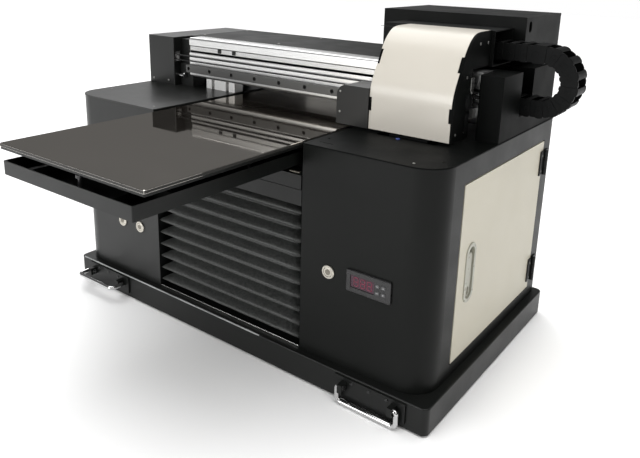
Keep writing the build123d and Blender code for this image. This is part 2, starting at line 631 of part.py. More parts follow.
with BuildPart() as bed_plate:
    with BuildSketch(Plane.XY.offset(BED_TOP - GLASS_T - BEDPLATE_T)):
        with Locations(((BED_X0 + BED_X1) / 2, (BED_Y0 + BED_Y1) / 2)):
            RectangleRounded(BED_X1 - BED_X0 - 1, BED_Y1 - BED_Y0 - 1, 2)
    extrude(amount=BEDPLATE_T)
    chamfer(bed_plate.faces().sort_by(Axis.Z)[0].edges(), 0.8)
bed_plate.part.label = "bed_plate"
export_step(bed_plate.part, "parts/bed_plate.step")

with BuildPart() as glass_bed:
    with BuildSketch(Plane.XY.offset(BED_TOP - GLASS_T)):
        with Locations(((BED_X0 + BED_X1) / 2, (BED_Y0 + BED_Y1) / 2)):
            RectangleRounded(BED_X1 - BED_X0, BED_Y1 - BED_Y0, 2.5)
    extrude(amount=GLASS_T)
    chamfer(glass_bed.faces().sort_by(Axis.Z)[-1].edges(), 0.9)
glass_bed.part.label = "glass_bed"
export_step(glass_bed.part, "parts/glass_bed.step")

# ================= gantry =================

with BuildPart() as gantry_beam:
    # extruded aluminium profile: two T-slots in the front, two in the back,
    # one each in top and bottom, a step line, rounded long edges
    with BuildSketch(Plane.YZ.offset(BEAM_X0)):
        with Locations(((BEAM_Y0 + BEAM_Y1) / 2, (BEAM_Z0 + BEAM_Z1) / 2)):
            RectangleRounded(BEAM_Y1 - BEAM_Y0, BEAM_Z1 - BEAM_Z0, 4.5)
        # upper front recess with its slot
        with Locations((BEAM_Y0 + 1.0, 465.5)):
            Rectangle(2.0, 16.0, mode=Mode.SUBTRACT)
        with Locations((BEAM_Y0 + 5.0, 467.0)):
            Rectangle(10.0, 8.2, mode=Mode.SUBTRACT)
        with Locations((BEAM_Y0 + 10.0, 467.0)):
            Rectangle(5.0, 15.0, mode=Mode.SUBTRACT)
        # shallow step above the rail
        with Locations((BEAM_Y0 + 0.4, 437.0)):
            Rectangle(0.8, 3.0, mode=Mode.SUBTRACT)
        # back slots
        with Locations((BEAM_Y1 - 4.0, 468.5), (BEAM_Y1 - 4.0, 428.5)):
            Rectangle(8.0, 8.2, mode=Mode.SUBTRACT)
        # centre bores
        with Locations((-3.0, 448.5)):
            RectangleRounded(14.0, 18.0, 3.0, mode=Mode.SUBTRACT)
        with Locations((-5.0, 424.0)):
            Circle(3.6, mode=Mode.SUBTRACT)
    extrude(amount=BEAM_X1 - BEAM_X0)
gantry_beam.part.label = "gantry_beam"
export_step(gantry_beam.part, "parts/gantry_beam.step")

with BuildPart() as beam_supports:
    # short standing lengths of slotted profile that carry the beam on the two cabinet tops
    with BuildSketch(Plane.XY.offset(DECK)):
        with Locations((-214.0, 2.5), (226.0, 2.5)):
            RectangleRounded(80.0, 25.0, 2.0)
        with Locations((-234.0, -6.0), (-194.0, -6.0), (206.0, -6.0), (246.0, -6.0)):
            Rectangle(8.2, 12.0, mode=Mode.SUBTRACT)
        with Locations((-234.0, -1.5), (-194.0, -1.5), (206.0, -1.5), (246.0, -1.5)):
            Rectangle(14.0, 5.0, mode=Mode.SUBTRACT)
    extrude(amount=BEAM_Z0 - DECK)
    # idler block inside the left end cover
    with BuildSketch(Plane.XZ.offset(22.0)):
        with Locations((IDLER_X, 437.0)):
            Rectangle(30.0, 62.0)
        with Locations((IDLER_X, BELT_Z)):
            Circle(2.55, mode=Mode.SUBTRACT)
    extrude(amount=-26.0)
    with BuildSketch(Plane.XY.offset(DECK)):
        with Locations((IDLER_X, -5.0)):
            Rectangle(24.0, 20.0)
    extrude(amount=408.0 - DECK)
beam_supports.part.label = "beam_supports"
export_step(beam_supports.part, "parts/beam_supports.step")

with BuildPart() as linear_rail:
    RX0, RX1 = -283.0, 344.0
    with BuildSketch(Plane.YZ.offset(RX0)):
        with Locations((BEAM_Y0 - RAIL_H / 2, RAIL_Z)):
            Rectangle(RAIL_H, RAIL_W)
        with Locations((BEAM_Y0 - RAIL_H / 2 - 0.5, RAIL_Z + RAIL_W / 2), (BEAM_Y0 - RAIL_H / 2 - 0.5, RAIL_Z - RAIL_W / 2)):
            Rectangle(3.0, 2.0, rotation=45, mode=Mode.SUBTRACT)
    extrude(amount=RX1 - RX0)
    with BuildSketch(Plane.XZ.offset(-(BEAM_Y0 - RAIL_H) + 1)):
        with Locations(*[(-276.0 + RAIL_HOLE_PITCH * i, RAIL_Z) for i in range(11)]):
            Circle(3.8)
    extrude(amount=-6.4, mode=Mode.SUBTRACT)
linear_rail.part.label = "linear_rail"
export_step(linear_rail.part, "parts/linear_rail.step")

with BuildPart() as gantry_left_cover:
    with BuildSketch(Plane.XY.offset(DECK)):
        with Locations(((LCOV_X0 + LCOV_X1) / 2, (GAN_Y0 + GAN_Y1) / 2)):
            RectangleRounded(LCOV_X1 - LCOV_X0, GAN_Y1 - GAN_Y0, 2.0)
    extrude(amount=GAN_TOP - DECK)
    with BuildSketch(Plane.XY.offset(DECK)):
        with Locations(((LCOV_X0 + LCOV_X1) / 2, (GAN_Y0 + GAN_Y1) / 2)):
            Rectangle(LCOV_X1 - LCOV_X0 - 2 * WALL, GAN_Y1 - GAN_Y0 - 2 * WALL)
    extrude(amount=GAN_TOP - DECK - WALL, mode=Mode.SUBTRACT)
    # window for the belt in the inner wall
    with BuildSketch(Plane.YZ.offset(LCOV_X1 + 1)):
        with Locations((-24.0, 446.3)):
            Rectangle(16.8, 20.0)
    extrude(amount=-(WALL + 2), mode=Mode.SUBTRACT)
    with BuildSketch(Plane.XZ.offset(-GAN_Y0 + 1)):
        with Locations((-388.7, 395.3), (-342.1, 395.3)):
            Circle(1.6)
    extrude(amount=-(WALL + 2), mode=Mode.SUBTRACT)
    # upright angle between the cover and the beam's left end
    with BuildSketch(Plane.XY.offset(DECK)):
        with Locations(((LCOV_X1 - 0.5 + BEAM_X0 - 0.2) / 2, -1.0)):
            Rectangle(BEAM_X0 - 0.2 - LCOV_X1 + 0.5, 32.0)
    extrude(amount=432.0 - DECK)
    with BuildSketch(Plane.XY.offset(432.0)):
        with Locations(((LCOV_X1 - 0.5 + BEAM_X0 - 0.2) / 2, 2.0)):
            Rectangle(BEAM_X0 - 0.2 - LCOV_X1 + 0.5, 26.0)
    extrude(amount=50.0)
gantry_left_cover.part.label = "gantry_left_cover"
export_step(gantry_left_cover.part, "parts/gantry_left_cover.step")

with BuildPart() as gantry_right_cover:
    with BuildSketch(Plane.XY.offset(DECK)):
        with Locations(((RCOV_X0 + RCOV_X1) / 2, (GAN_Y0 + GAN_Y1) / 2)):
            RectangleRounded(RCOV_X1 - RCOV_X0, GAN_Y1 - GAN_Y0, 2.0)
    extrude(amount=GAN_TOP - DECK)
    with BuildSketch(Plane.XY.offset(DECK)):
        with Locations(((RCOV_X0 + RCOV_X1) / 2, (GAN_Y0 + GAN_Y1) / 2)):
            Rectangle(RCOV_X1 - RCOV_X0 - 2 * WALL, GAN_Y1 - GAN_Y0 - 2 * WALL)
    extrude(amount=GAN_TOP - DECK - WALL, mode=Mode.SUBTRACT)
    # slot that the drag chain runs through, open at the top
    with BuildSketch(Plane.YZ.offset(RCOV_X0)):
        with Locations(((SLOT_Y0 + SLOT_Y1) / 2, (DECK + GAN_TOP - 0.8) / 2)):
            Rectangle(SLOT_Y1 - SLOT_Y0 + 2 * WALL, GAN_TOP - 0.8 - DECK)
    extrude(amount=RCOV_X1 - RCOV_X0)
    with BuildSketch(Plane.YZ.offset(RCOV_X0 - 1)):
        with Locations(((SLOT_Y0 + SLOT_Y1) / 2, (416.0 + GAN_TOP + 2) / 2)):
            Rectangle(SLOT_Y1 - SLOT_Y0, GAN_TOP + 2 - 416.0)
        with Locations(((SLOT_Y0 + SLOT_Y1) / 2, (DECK - 1 + 414.4) / 2)):
            Rectangle(SLOT_Y1 - SLOT_Y0, 414.4 - DECK + 1)
    extrude(amount=RCOV_X1 - RCOV_X0 + 2, mode=Mode.SUBTRACT)
    with BuildSketch(Plane.YZ.offset(RCOV_X1 - WALL)):
        with Locations(((SLOT_Y0 + SLOT_Y1) / 2, (DECK + 416.0) / 2)):
            Rectangle(SLOT_Y1 - SLOT_Y0, 416.0 - DECK)
    extrude(amount=WALL)
    # window for belt in the inner wall
    with BuildSketch(Plane.YZ.offset(RCOV_X0 - 1)):
        with Locations((-26.0, 446.3)):
            Rectangle(12.8, 20.0)
    extrude(amount=WALL + 2, mode=Mode.SUBTRACT)
gantry_right_cover.part.label = "gantry_right_cover"
export_step(gantry_right_cover.part, "parts/gantry_right_cover.step")

with BuildPart() as gantry_top_cover:
    with BuildSketch(Plane.XY.offset(GAN_TOP - WALL)):
        with Locations(((LCOV_X1 + RCOV_X0) / 2, (16.0 + GAN_Y1) / 2)):
            Rectangle(RCOV_X0 - LCOV_X1 - 0.8, GAN_Y1 - 16.0)
        # slot that the drag chain's bend travels in
        with Locations(((SLOT_X0 + RCOV_X0 + 1) / 2, (SLOT_Y0 + SLOT_Y1) / 2)):
            Rectangle(RCOV_X0 + 1 - SLOT_X0, SLOT_Y1 - SLOT_Y0, mode=Mode.SUBTRACT)
    extrude(amount=WALL)
    with BuildSketch(Plane.XY.offset(GAN_TOP - 12.0)):
        with Locations(((LCOV_X1 + RCOV_X0) / 2, 16.0 + WALL / 2)):
            Rectangle(RCOV_X0 - LCOV_X1 - 0.8, WALL)
    extrude(amount=12.0 - WALL)
gantry_top_cover.part.label = "gantry_top_cover"
export_step(gantry_top_cover.part, "parts/gantry_top_cover.step")

with BuildPart() as gantry_rear_cover:
    # floor over the table, back wall, and the tray under the drag chain
    with BuildSketch(Plane.YZ.offset(LCOV_X1 + 0.4)):
        with Locations((108.5, 402.0 + WALL / 2)):
            Rectangle(183.0, WALL)
        with Locations((GAN_Y1 - WALL / 2, (402.0 + GAN_TOP - WALL) / 2)):
            Rectangle(WALL, GAN_TOP - WALL - 402.0)
        with Locations(((SLOT_Y0 + SLOT_Y1) / 2, 415.2)):
            Rectangle(SLOT_Y1 - SLOT_Y0, WALL)
        with Locations((SLOT_Y0 + WALL / 2, 409.0), (SLOT_Y1 - WALL / 2, 409.0)):
            Rectangle(WALL, 14.0)
    extrude(amount=RCOV_X0 - LCOV_X1 - 0.8)
gantry_rear_cover.part.label = "gantry_rear_cover"
export_step(gantry_rear_cover.part, "parts/gantry_rear_cover.step")

with BuildPart() as carriage_belt:
    with BuildSketch(Plane.XZ.offset(-BELT_Y0)):
        with Locations(((IDLER_X + DRIVE_X) / 2, BELT_Z)):
            SlotCenterToCenter(DRIVE_X - IDLER_X, 2 * BELT_R + BELT_T)
            SlotCenterToCenter(DRIVE_X - IDLER_X, 2 * BELT_R - BELT_T, mode=Mode.SUBTRACT)
    extrude(amount=BELT_Y0 - BELT_Y1)
carriage_belt.part.label = "carriage_belt"
export_step(carriage_belt.part, "parts/carriage_belt.step")

with BuildPart() as belt_idler_pulley:
    with BuildSketch(Plane.XZ.offset(-BELT_Y0 + 0.7)):
        with Locations((IDLER_X, BELT_Z)):
            Circle(7.6)
    extrude(amount=-0.4)
    with BuildSketch(Plane.XZ.offset(-BELT_Y0 + 0.4)):
        with Locations((IDLER_X, BELT_Z)):
            Circle(4.1)
    extrude(amount=-6.0)
    with BuildSketch(Plane.XZ.offset(-BELT_Y1 - 0.3)):
        with Locations((IDLER_X, BELT_Z)):
            Circle(7.6)
    extrude(amount=-0.4)
    with BuildSketch(Plane.XZ.offset(-BELT_Y1 - 0.3)):
        with Locations((IDLER_X, BELT_Z)):
            Circle(2.5)
    extrude(amount=-20.0)
belt_idler_pulley.part.label = "belt_idler_pulley"
export_step(belt_idler_pulley.part, "parts/belt_idler_pulley.step")

with BuildPart() as belt_drive_pulley:
    with BuildSketch(Plane.XZ.offset(-BELT_Y0 + 0.7)):
        with Locations((DRIVE_X, BELT_Z)):
            Circle(7.6)
    extrude(amount=-0.4)
    with BuildSketch(Plane.XZ.offset(-BELT_Y0 + 0.4)):
        with Locations((DRIVE_X, BELT_Z)):
            Circle(4.1)
    extrude(amount=-6.0)
    with BuildSketch(Plane.XZ.offset(-BELT_Y1 - 0.3)):
        with Locations((DRIVE_X, BELT_Z)):
            Circle(7.6)
    extrude(amount=-0.4)
    with BuildSketch(Plane.XZ.offset(-BELT_Y1 - 0.3)):
        with Locations((DRIVE_X, BELT_Z)):
            Circle(2.5)
    extrude(amount=-14.0)
belt_drive_pulley.part.label = "belt_drive_pulley"
export_step(belt_drive_pulley.part, "parts/belt_drive_pulley.step")

with BuildPart() as carriage_motor:
    # stepper motor behind the drive pulley, on a foot
    with BuildSketch(Plane.XZ.offset(22.0)):
        with Locations((DRIVE_X + 0.3, BELT_Z)):
            RectangleRounded(31.0, 42.0, 3.0)
        with Locations((DRIVE_X, BELT_Z)):
            Circle(2.55, mode=Mode.SUBTRACT)
    extrude(amount=-44.0)
    with BuildSketch(Plane.XY.offset(DECK)):
        with Locations((DRIVE_X, 2.0)):
            Rectangle(26.0, 30.0)
    extrude(amount=BELT_Z - 21.0 - DECK)
carriage_motor.part.label = "carriage_motor"
export_step(carriage_motor.part, "parts/carriage_motor.step")

# ================= carriage =================

BLOCK_Z0, BLOCK_Z1 = 414.0, 440.0

with BuildPart() as carriage_blocks:
    for bx in (206.0, 276.0):
        with BuildSketch(Plane.YZ.offset(bx)):
            with Locations((-39.0, (BLOCK_Z0 + BLOCK_Z1) / 2)):
                Rectangle(19.0, BLOCK_Z1 - BLOCK_Z0)
            with Locations((-33.0, RAIL_Z)):
                Rectangle(10.0, RAIL_W + 0.8, mode=Mode.SUBTRACT)
        extrude(amount=56.8)
carriage_blocks.part.label = "carriage_blocks"
export_step(carriage_blocks.part, "parts/carriage_blocks.step")

HEAD_X0, HEAD_X1, HEAD_Y0, HEAD_Y1 = 232.0, 302.0, -91.0, -57.0

with BuildPart() as carriage_plate:
    # upright on the rail blocks
    with BuildSketch(Plane.XZ.offset(54.5)):
        with Locations(((201.0 + 336.6) / 2, (396.0 + 498.0) / 2)):
            Rectangle(336.6 - 201.0, 498.0 - 396.0)
    extrude(amount=-6.0)
    # floor around the print head
    with BuildSketch(Plane.XY.offset(396.0)):
        with Locations(((201.0 + 336.6) / 2, -74.0)):
            Rectangle(336.6 - 201.0, 39.0)
        with Locations(((HEAD_X0 + HEAD_X1) / 2, (HEAD_Y0 + HEAD_Y1) / 2)):
            Rectangle(HEAD_X1 - HEAD_X0, HEAD_Y1 - HEAD_Y0, mode=Mode.SUBTRACT)
    extrude(amount=4.0)
    # arm over the beam
    with BuildSketch(Plane.XY.offset(494.0)):
        with Locations(((201.0 + 336.6) / 2, -14.5)):
            Rectangle(336.6 - 201.0, 68.0)
    extrude(amount=4.0)
    # belt clamp
    with BuildSketch(Plane.XZ.offset(49.0)):
        with Locations((268.8, 455.0)):
            Rectangle(26.0, 15.0)
    extrude(amount=-23.0)
    with BuildSketch(Plane.XZ.offset(33.0)):
        with Locations((268.8, BELT_Z + BELT_R)):
            Rectangle(30.0, 2.2)
    extrude(amount=-8.0, mode=Mode.SUBTRACT)
carriage_plate.part.label = "carriage_plate"
export_step(carriage_plate.part, "parts/carriage_plate.step")

with BuildPart() as print_head:
    with BuildSketch(Plane.XY.offset(388.6)):
        with Locations(((HEAD_X0 + HEAD_X1) / 2, (HEAD_Y0 + HEAD_Y1) / 2)):
            Rectangle(HEAD_X1 - HEAD_X0 - 8, HEAD_Y1 - HEAD_Y0 - 6)
    extrude(amount=12.0)
    with BuildSketch(Plane.XY.offset(400.0)):
        with Locations(((HEAD_X0 + HEAD_X1) / 2, (HEAD_Y0 + HEAD_Y1) / 2)):
            Rectangle(HEAD_X1 - HEAD_X0 + 6, HEAD_Y1 - HEAD_Y0 - 1)
    extrude(amount=28.0)
    with BuildSketch(Plane.XY.offset(428.0)):
        with Locations(((HEAD_X0 + HEAD_X1) / 2, -72.0)):
            Rectangle(58.0, 12.0)
    extrude(amount=22.0)
print_head.part.label = "print_head"
export_step(print_head.part, "parts/print_head.step")

# section of the curved front cover, (y, z)
COVER_OUT = [(-95.5, 442.0), (-92.0, 463.0), (-79.5, 489.0), (-66.0, 515.0),
             (-51.0, 534.0), (-32.0, 545.2), (-10.0, 547.4), (20.0, 547.6)]
COVER_IN = []
for i, (cy, cz) in enumerate(COVER_OUT):
    y0, z0 = COVER_OUT[max(i - 1, 0)]
    y1, z1 = COVER_OUT[min(i + 1, len(COVER_OUT) - 1)]
    if i == 0:
        ty, tz = 0.0, 1.0
    elif i == len(COVER_OUT) - 1:
        ty, tz = 1.0, 0.0
    else:
        ty, tz = y1 - y0, z1 - z0
        n = math.hypot(ty, tz)
        ty, tz = ty / n, tz / n
    COVER_IN.append((cy + tz * COVER_T, cz - ty * COVER_T))

with BuildPart() as carriage_cover:
    with BuildSketch(Plane.YZ.offset(CAR_X0)):
        with BuildLine():
            Line((-95.5, CAR_BOT), COVER_OUT[0])
            Spline(*COVER_OUT, tangents=((0, 1), (1, 0)))
            Line(COVER_OUT[-1], COVER_IN[-1])
            Spline(*COVER_IN[::-1], tangents=((-1, 0), (0, -1)))
            Line(COVER_IN[0], (-95.5 + COVER_T, CAR_BOT))
            Line((-95.5 + COVER_T, CAR_BOT), (-95.5, CAR_BOT))
        make_face()
    extrude(amount=CAR_X1 - CAR_X0 - 0.2)
    # notches that the side plates key into
    with BuildSketch(Plane.XZ.offset(110.0)):
        with Locations((CAR_X0, 503.0), (CAR_X1, 503.0), (CAR_X0, 431.0), (CAR_X1, 431.0)):
            Rectangle(8.0, 22.0)
    extrude(amount=-60.0, mode=Mode.SUBTRACT)
carriage_cover.part.label = "carriage_cover"
export_step(carriage_cover.part, "parts/carriage_cover.step")

with BuildPart() as carriage_side_plates:
    # keys in the cover's notches
    with BuildSketch(Plane.YZ.offset(CAR_X0 + 0.2)):
        with BuildLine():
            Line((-95.5, CAR_BOT), COVER_OUT[0])
            Spline(*COVER_OUT, tangents=((0, 1), (1, 0)))
            Line(COVER_OUT[-1], (20.0, 500.0))
            Line((20.0, 500.0), (-60.0, CAR_BOT))
            Line((-60.0, CAR_BOT), (-95.5, CAR_BOT))
        make_face()
    extrude(amount=3.0)
    with BuildSketch(Plane.YZ.offset(CAR_X1 - 3.6)):
        with BuildLine():
            Line((-95.5, CAR_BOT), COVER_OUT[0])
            Spline(*COVER_OUT, tangents=((0, 1), (1, 0)))
            Line(COVER_OUT[-1], (20.0, 500.0))
            Line((20.0, 500.0), (-60.0, CAR_BOT))
            Line((-60.0, CAR_BOT), (-95.5, CAR_BOT))
        make_face()
    extrude(amount=3.8)
    with BuildSketch(Plane.XZ.offset(110.0)):
        with Locations((267.0, 503.0), (267.0, 431.0)):
            Rectangle(200.0, 21.4)
    extrude(amount=-50.0, mode=Mode.INTERSECT)
    # left plate, behind the cover
    with BuildSketch(Plane.YZ.offset(CAR_X0 + 0.2)):
        with BuildLine():
            Line((-95.5 + COVER_T, CAR_BOT), COVER_IN[0])
            Spline(*COVER_IN, tangents=((0, 1), (1, 0)))
            Polyline(COVER_IN[-1], (20.0, 494.0), (-41.0, 494.0), (-41.0, CAR_BOT), (-95.5 + COVER_T, CAR_BOT))
        make_face()
    extrude(amount=3.0)
    # right plate, outside the cover
    with BuildSketch(Plane.YZ.offset(CAR_X1)):
        with BuildLine():
            Line((-95.5, CAR_BOT), COVER_OUT[0])
            Spline(*COVER_OUT, tangents=((0, 1), (1, 0)))
            Polyline(COVER_OUT[-1], (20.0, 494.0), (-41.0, 494.0), (-41.0, CAR_BOT), (-95.5, CAR_BOT))
        make_face()
    extrude(amount=3.0)
    add(carriage_cover.part, mode=Mode.SUBTRACT)
carriage_side_plates.part.label = "carriage_side_plates"
export_step(carriage_side_plates.part, "parts/carriage_side_plates.step")

TUN_X0, TUN_X1, TUN_Y0, TUN_Y1, TUN_Z0, TUN_Z1 = 150.0, 345.0, 20.2, 93.0, 492.0, 547.0

with BuildPart() as carriage_top_housing:
    # box behind the front cover, open at its right end for the drag chain
    with BuildSketch(Plane.YZ.offset(TUN_X0)):
        with Locations(((TUN_Y0 + TUN_Y1) / 2, (TUN_Z0 + TUN_Z1) / 2)):
            Rectangle(TUN_Y1 - TUN_Y0, TUN_Z1 - TUN_Z0)
    extrude(amount=TUN_X1 - TUN_X0)
    with BuildSketch(Plane.YZ.offset(TUN_X0 + WALL)):
        with Locations(((TUN_Y0 + TUN_Y1) / 2, (TUN_Z0 + TUN_Z1) / 2)):
            Rectangle(TUN_Y1 - TUN_Y0 - 2 * WALL, TUN_Z1 - TUN_Z0 - 2 * WALL)
    extrude(amount=TUN_X1 - TUN_X0, mode=Mode.SUBTRACT)
carriage_top_housing.part.label = "carriage_top_housing"
export_step(carriage_top_housing.part, "parts/carriage_top_housing.step")

LAMP_X0, LAMP_X1, LAMP_Y0, LAMP_Y1, LAMP_Z1 = 137.0, 197.2, -98.0, -46.0, 455.0

with BuildPart() as uv_lamp_housing:
    with BuildSketch(Plane.XZ.offset(-LAMP_Y0)):
        with Locations(((LAMP_X0 + LAMP_X1) / 2, (CAR_BOT + LAMP_Z1) / 2)):
            Rectangle(LAMP_X1 - LAMP_X0, LAMP_Z1 - CAR_BOT)
        fillet(vertices().group_by(Axis.X)[0].sort_by(Axis.Y)[-1], 17.0)
    extrude(amount=-(LAMP_Y1 - LAMP_Y0))
    with BuildSketch(Plane.XZ.offset(-LAMP_Y0 - WALL)):
        with Locations(((LAMP_X0 + LAMP_X1) / 2, (CAR_BOT - 2 + LAMP_Z1 - WALL) / 2)):
            Rectangle(LAMP_X1 - LAMP_X0 - 2 * WALL, LAMP_Z1 - WALL - CAR_BOT + 2)
        fillet(vertices().group_by(Axis.X)[0].sort_by(Axis.Y)[-1], 17.0 - WALL)
    extrude(amount=-(LAMP_Y1 - LAMP_Y0 - 2 * WALL), mode=Mode.SUBTRACT)
uv_lamp_housing.part.label = "uv_lamp_housing"
export_step(uv_lamp_housing.part, "parts/uv_lamp_housing.step")

with BuildPart() as uv_lamp_module:
    # LED block with its finned cooler
    with BuildSketch(Plane.XY.offset(393.0)):
        with Locations((167.1, -72.0)):
            Rectangle(56.8, 48.6)
    extrude(amount=14.0)
    with BuildSketch(Plane.XY.offset(407.0)):
        with Locations((167.1, -72.0)):
            with GridLocations(6.4, 0, 8, 1):
                Rectangle(2.0, 44.0)
    extrude(amount=16.0)
uv_lamp_module.part.label = "uv_lamp_module"
export_step(uv_lamp_module.part, "parts/uv_lamp_module.step")

# ================= drag chain =================

with BuildPart() as cable_chain:
    with BuildSketch(Plane.XZ.offset(-CH_Y0)):
        with BuildLine():
            Polyline((CH_X, CH_Z + CH_RO), (CH_UP_X, CH_Z + CH_RO), (CH_UP_X, CH_Z + CH_RI), (CH_X, CH_Z + CH_RI))
            ThreePointArc((CH_X, CH_Z + CH_RI), (CH_X + CH_RI, CH_Z), (CH_X, CH_Z - CH_RI))
            Polyline((CH_X, CH_Z - CH_RI), (CH_LOW_X, CH_Z - CH_RI), (CH_LOW_X, CH_Z - CH_RO), (CH_X, CH_Z - CH_RO))
            ThreePointArc((CH_X, CH_Z - CH_RO), (CH_X + CH_RO, CH_Z), (CH_X, CH_Z + CH_RO))
        make_face()
    extrude(amount=-(CH_Y1 - CH_Y0))
cable_chain.part.label = "cable_chain"
export_step(cable_chain.part, "parts/cable_chain.step")

# ================= ink box =================

INK_X0, INK_X1, INK_Y0, INK_Y1, INK_Z0, INK_Z1 = 103.0, 366.0, 93.2, 262.0, 500.0, 565.0
INK_LOW = 430.0                  # underside of the lower part
INK_STEP = GAN_Y1 + 0.8          # its front face, clear of the gantry

with BuildPart() as ink_box:
    # tank box on the gantry, with a lower part behind the gantry's rear wall
    with BuildSketch(Plane.YZ.offset(INK_X0)):
        Polygon((INK_Y0, INK_Z0), (INK_Y0, INK_Z1), (INK_Y1, INK_Z1), (INK_Y1, INK_LOW), (INK_STEP, INK_LOW), (INK_STEP, INK_Z0), align=None)
    extrude(amount=INK_X1 - INK_X0)
    with BuildSketch(Plane.YZ.offset(INK_X0 + WALL)):
        Polygon((INK_Y0 + WALL, INK_Z0 + WALL), (INK_Y0 + WALL, INK_Z1 - WALL), (INK_Y1 - WALL, INK_Z1 - WALL), (INK_Y1 - WALL, INK_LOW + WALL), (INK_STEP + WALL, INK_LOW + WALL), (INK_STEP + WALL, INK_Z0 + WALL), align=None)
    extrude(amount=INK_X1 - INK_X0 - 2 * WALL, mode=Mode.SUBTRACT)
    with BuildSketch(Plane.YZ.offset(INK_X1 + 1)):
        with Locations((112.0, 549.0)):
            SlotOverall(18.0, 12.0, rotation=90)
    extrude(amount=-(WALL + 2), mode=Mode.SUBTRACT)
ink_box.part.label = "ink_box"
export_step(ink_box.part, "parts/ink_box.step")

# ================= capping station =================

with BuildPart() as capping_station:
    with BuildSketch(Plane.XY.offset(340.0)):
        with Locations((268.0, -72.0)):
            RectangleRounded(98.0, 54.0, 3)
    extrude(amount=42.0)
    with BuildSketch(Plane.XY.offset(382.0)):
        with Locations(((HEAD_X0 + HEAD_X1) / 2, (HEAD_Y0 + HEAD_Y1) / 2)):
            Rectangle(66.0, 34.0)
            Rectangle(60.0, 28.0, mode=Mode.SUBTRACT)
    extrude(amount=5.6)
    with BuildSketch(Plane.XZ.offset(56.0)):
        with Locations((268.0, 330.0)):
            Rectangle(60.0, 20.0)
    extrude(amount=-6.0)
    with BuildSketch(Plane.XY.offset(BASE_TOP)):
        with Locations((268.0, -53.0)):
            Rectangle(60.0, 6.0)
    extrude(amount=274.0)
capping_station.part.label = "capping_station"
export_step(capping_station.part, "parts/capping_station.step")

# ================= carrying handles =================

with BuildPart() as handle_plates:
    for side in (-1, 1):
        yf = side * BASE_W / 2
        for hx in (-HANDLE_X, HANDLE_X):
            with BuildSketch(Plane.XY.offset(11.0)):
                with Locations((hx, yf + side * 1.5)):
                    Rectangle(122.0, 3.0)
            extrude(amount=32.0)
            with BuildSketch(Plane.YZ.offset(hx - 47.0)):
                with Locations((yf + side * 10.0, HANDLE_Z)):
                    Rectangle(14.0, 14.0)
                with Locations((yf + side * (3.0 + 7.0), HANDLE_Z)):
                    Circle(ROD_R + 0.06, mode=Mode.SUBTRACT)
            extrude(amount=8.0)
            with BuildSketch(Plane.YZ.offset(hx + 39.0)):
                with Locations((yf + side * 10.0, HANDLE_Z)):
                    Rectangle(14.0, 14.0)
                with Locations((yf + side * (3.0 + 7.0), HANDLE_Z)):
                    Circle(ROD_R + 0.06, mode=Mode.SUBTRACT)
            extrude(amount=8.0)
handle_plates.part.label = "handle_plates"
export_step(handle_plates.part, "parts/handle_plates.step")

BAIL_Y = BASE_W / 2 + 10.0
BAIL_ARM = 25.0

# front left: swung out level; the other three hang
with BuildPart() as handle_front_left:
    with BuildLine() as bail_fl:
        FilletPolyline((-HANDLE_X - 38, -BAIL_Y, HANDLE_Z), (-HANDLE_X - 51, -BAIL_Y, HANDLE_Z),
                       (-HANDLE_X - 51, -BAIL_Y - BAIL_ARM, HANDLE_Z), (-HANDLE_X + 51, -BAIL_Y - BAIL_ARM, HANDLE_Z),
                       (-HANDLE_X + 51, -BAIL_Y, HANDLE_Z), (-HANDLE_X + 38, -BAIL_Y, HANDLE_Z), radius=[3.6, 8, 8, 3.6])
    with BuildSketch(Plane(origin=(-HANDLE_X - 38, -BAIL_Y, HANDLE_Z), z_dir=(1, 0, 0))):
        Circle(ROD_R)
    sweep(path=bail_fl.line)
handle_front_left.part.label = "handle_front_left"
export_step(handle_front_left.part, "parts/handle_front_left.step")

with BuildPart() as handle_front_right:
    with BuildLine() as bail_fr:
        FilletPolyline((HANDLE_X - 38, -BAIL_Y, HANDLE_Z), (HANDLE_X - 51, -BAIL_Y, HANDLE_Z),
                       (HANDLE_X - 51, -BAIL_Y, HANDLE_Z - BAIL_ARM), (HANDLE_X + 51, -BAIL_Y, HANDLE_Z - BAIL_ARM),
                       (HANDLE_X + 51, -BAIL_Y, HANDLE_Z), (HANDLE_X + 38, -BAIL_Y, HANDLE_Z), radius=[3.6, 8, 8, 3.6])
    with BuildSketch(Plane(origin=(HANDLE_X - 38, -BAIL_Y, HANDLE_Z), z_dir=(1, 0, 0))):
        Circle(ROD_R)
    sweep(path=bail_fr.line)
handle_front_right.part.label = "handle_front_right"
export_step(handle_front_right.part, "parts/handle_front_right.step")

with BuildPart() as handle_rear_left:
    with BuildLine() as bail_rl:
        FilletPolyline((-HANDLE_X - 38, BAIL_Y, HANDLE_Z), (-HANDLE_X - 51, BAIL_Y, HANDLE_Z),
                       (-HANDLE_X - 51, BAIL_Y, HANDLE_Z - BAIL_ARM), (-HANDLE_X + 51, BAIL_Y, HANDLE_Z - BAIL_ARM),
                       (-HANDLE_X + 51, BAIL_Y, HANDLE_Z), (-HANDLE_X + 38, BAIL_Y, HANDLE_Z), radius=[3.6, 8, 8, 3.6])
    with BuildSketch(Plane(origin=(-HANDLE_X - 38, BAIL_Y, HANDLE_Z), z_dir=(1, 0, 0))):
        Circle(ROD_R)
    sweep(path=bail_rl.line)
handle_rear_left.part.label = "handle_rear_left"
export_step(handle_rear_left.part, "parts/handle_rear_left.step")

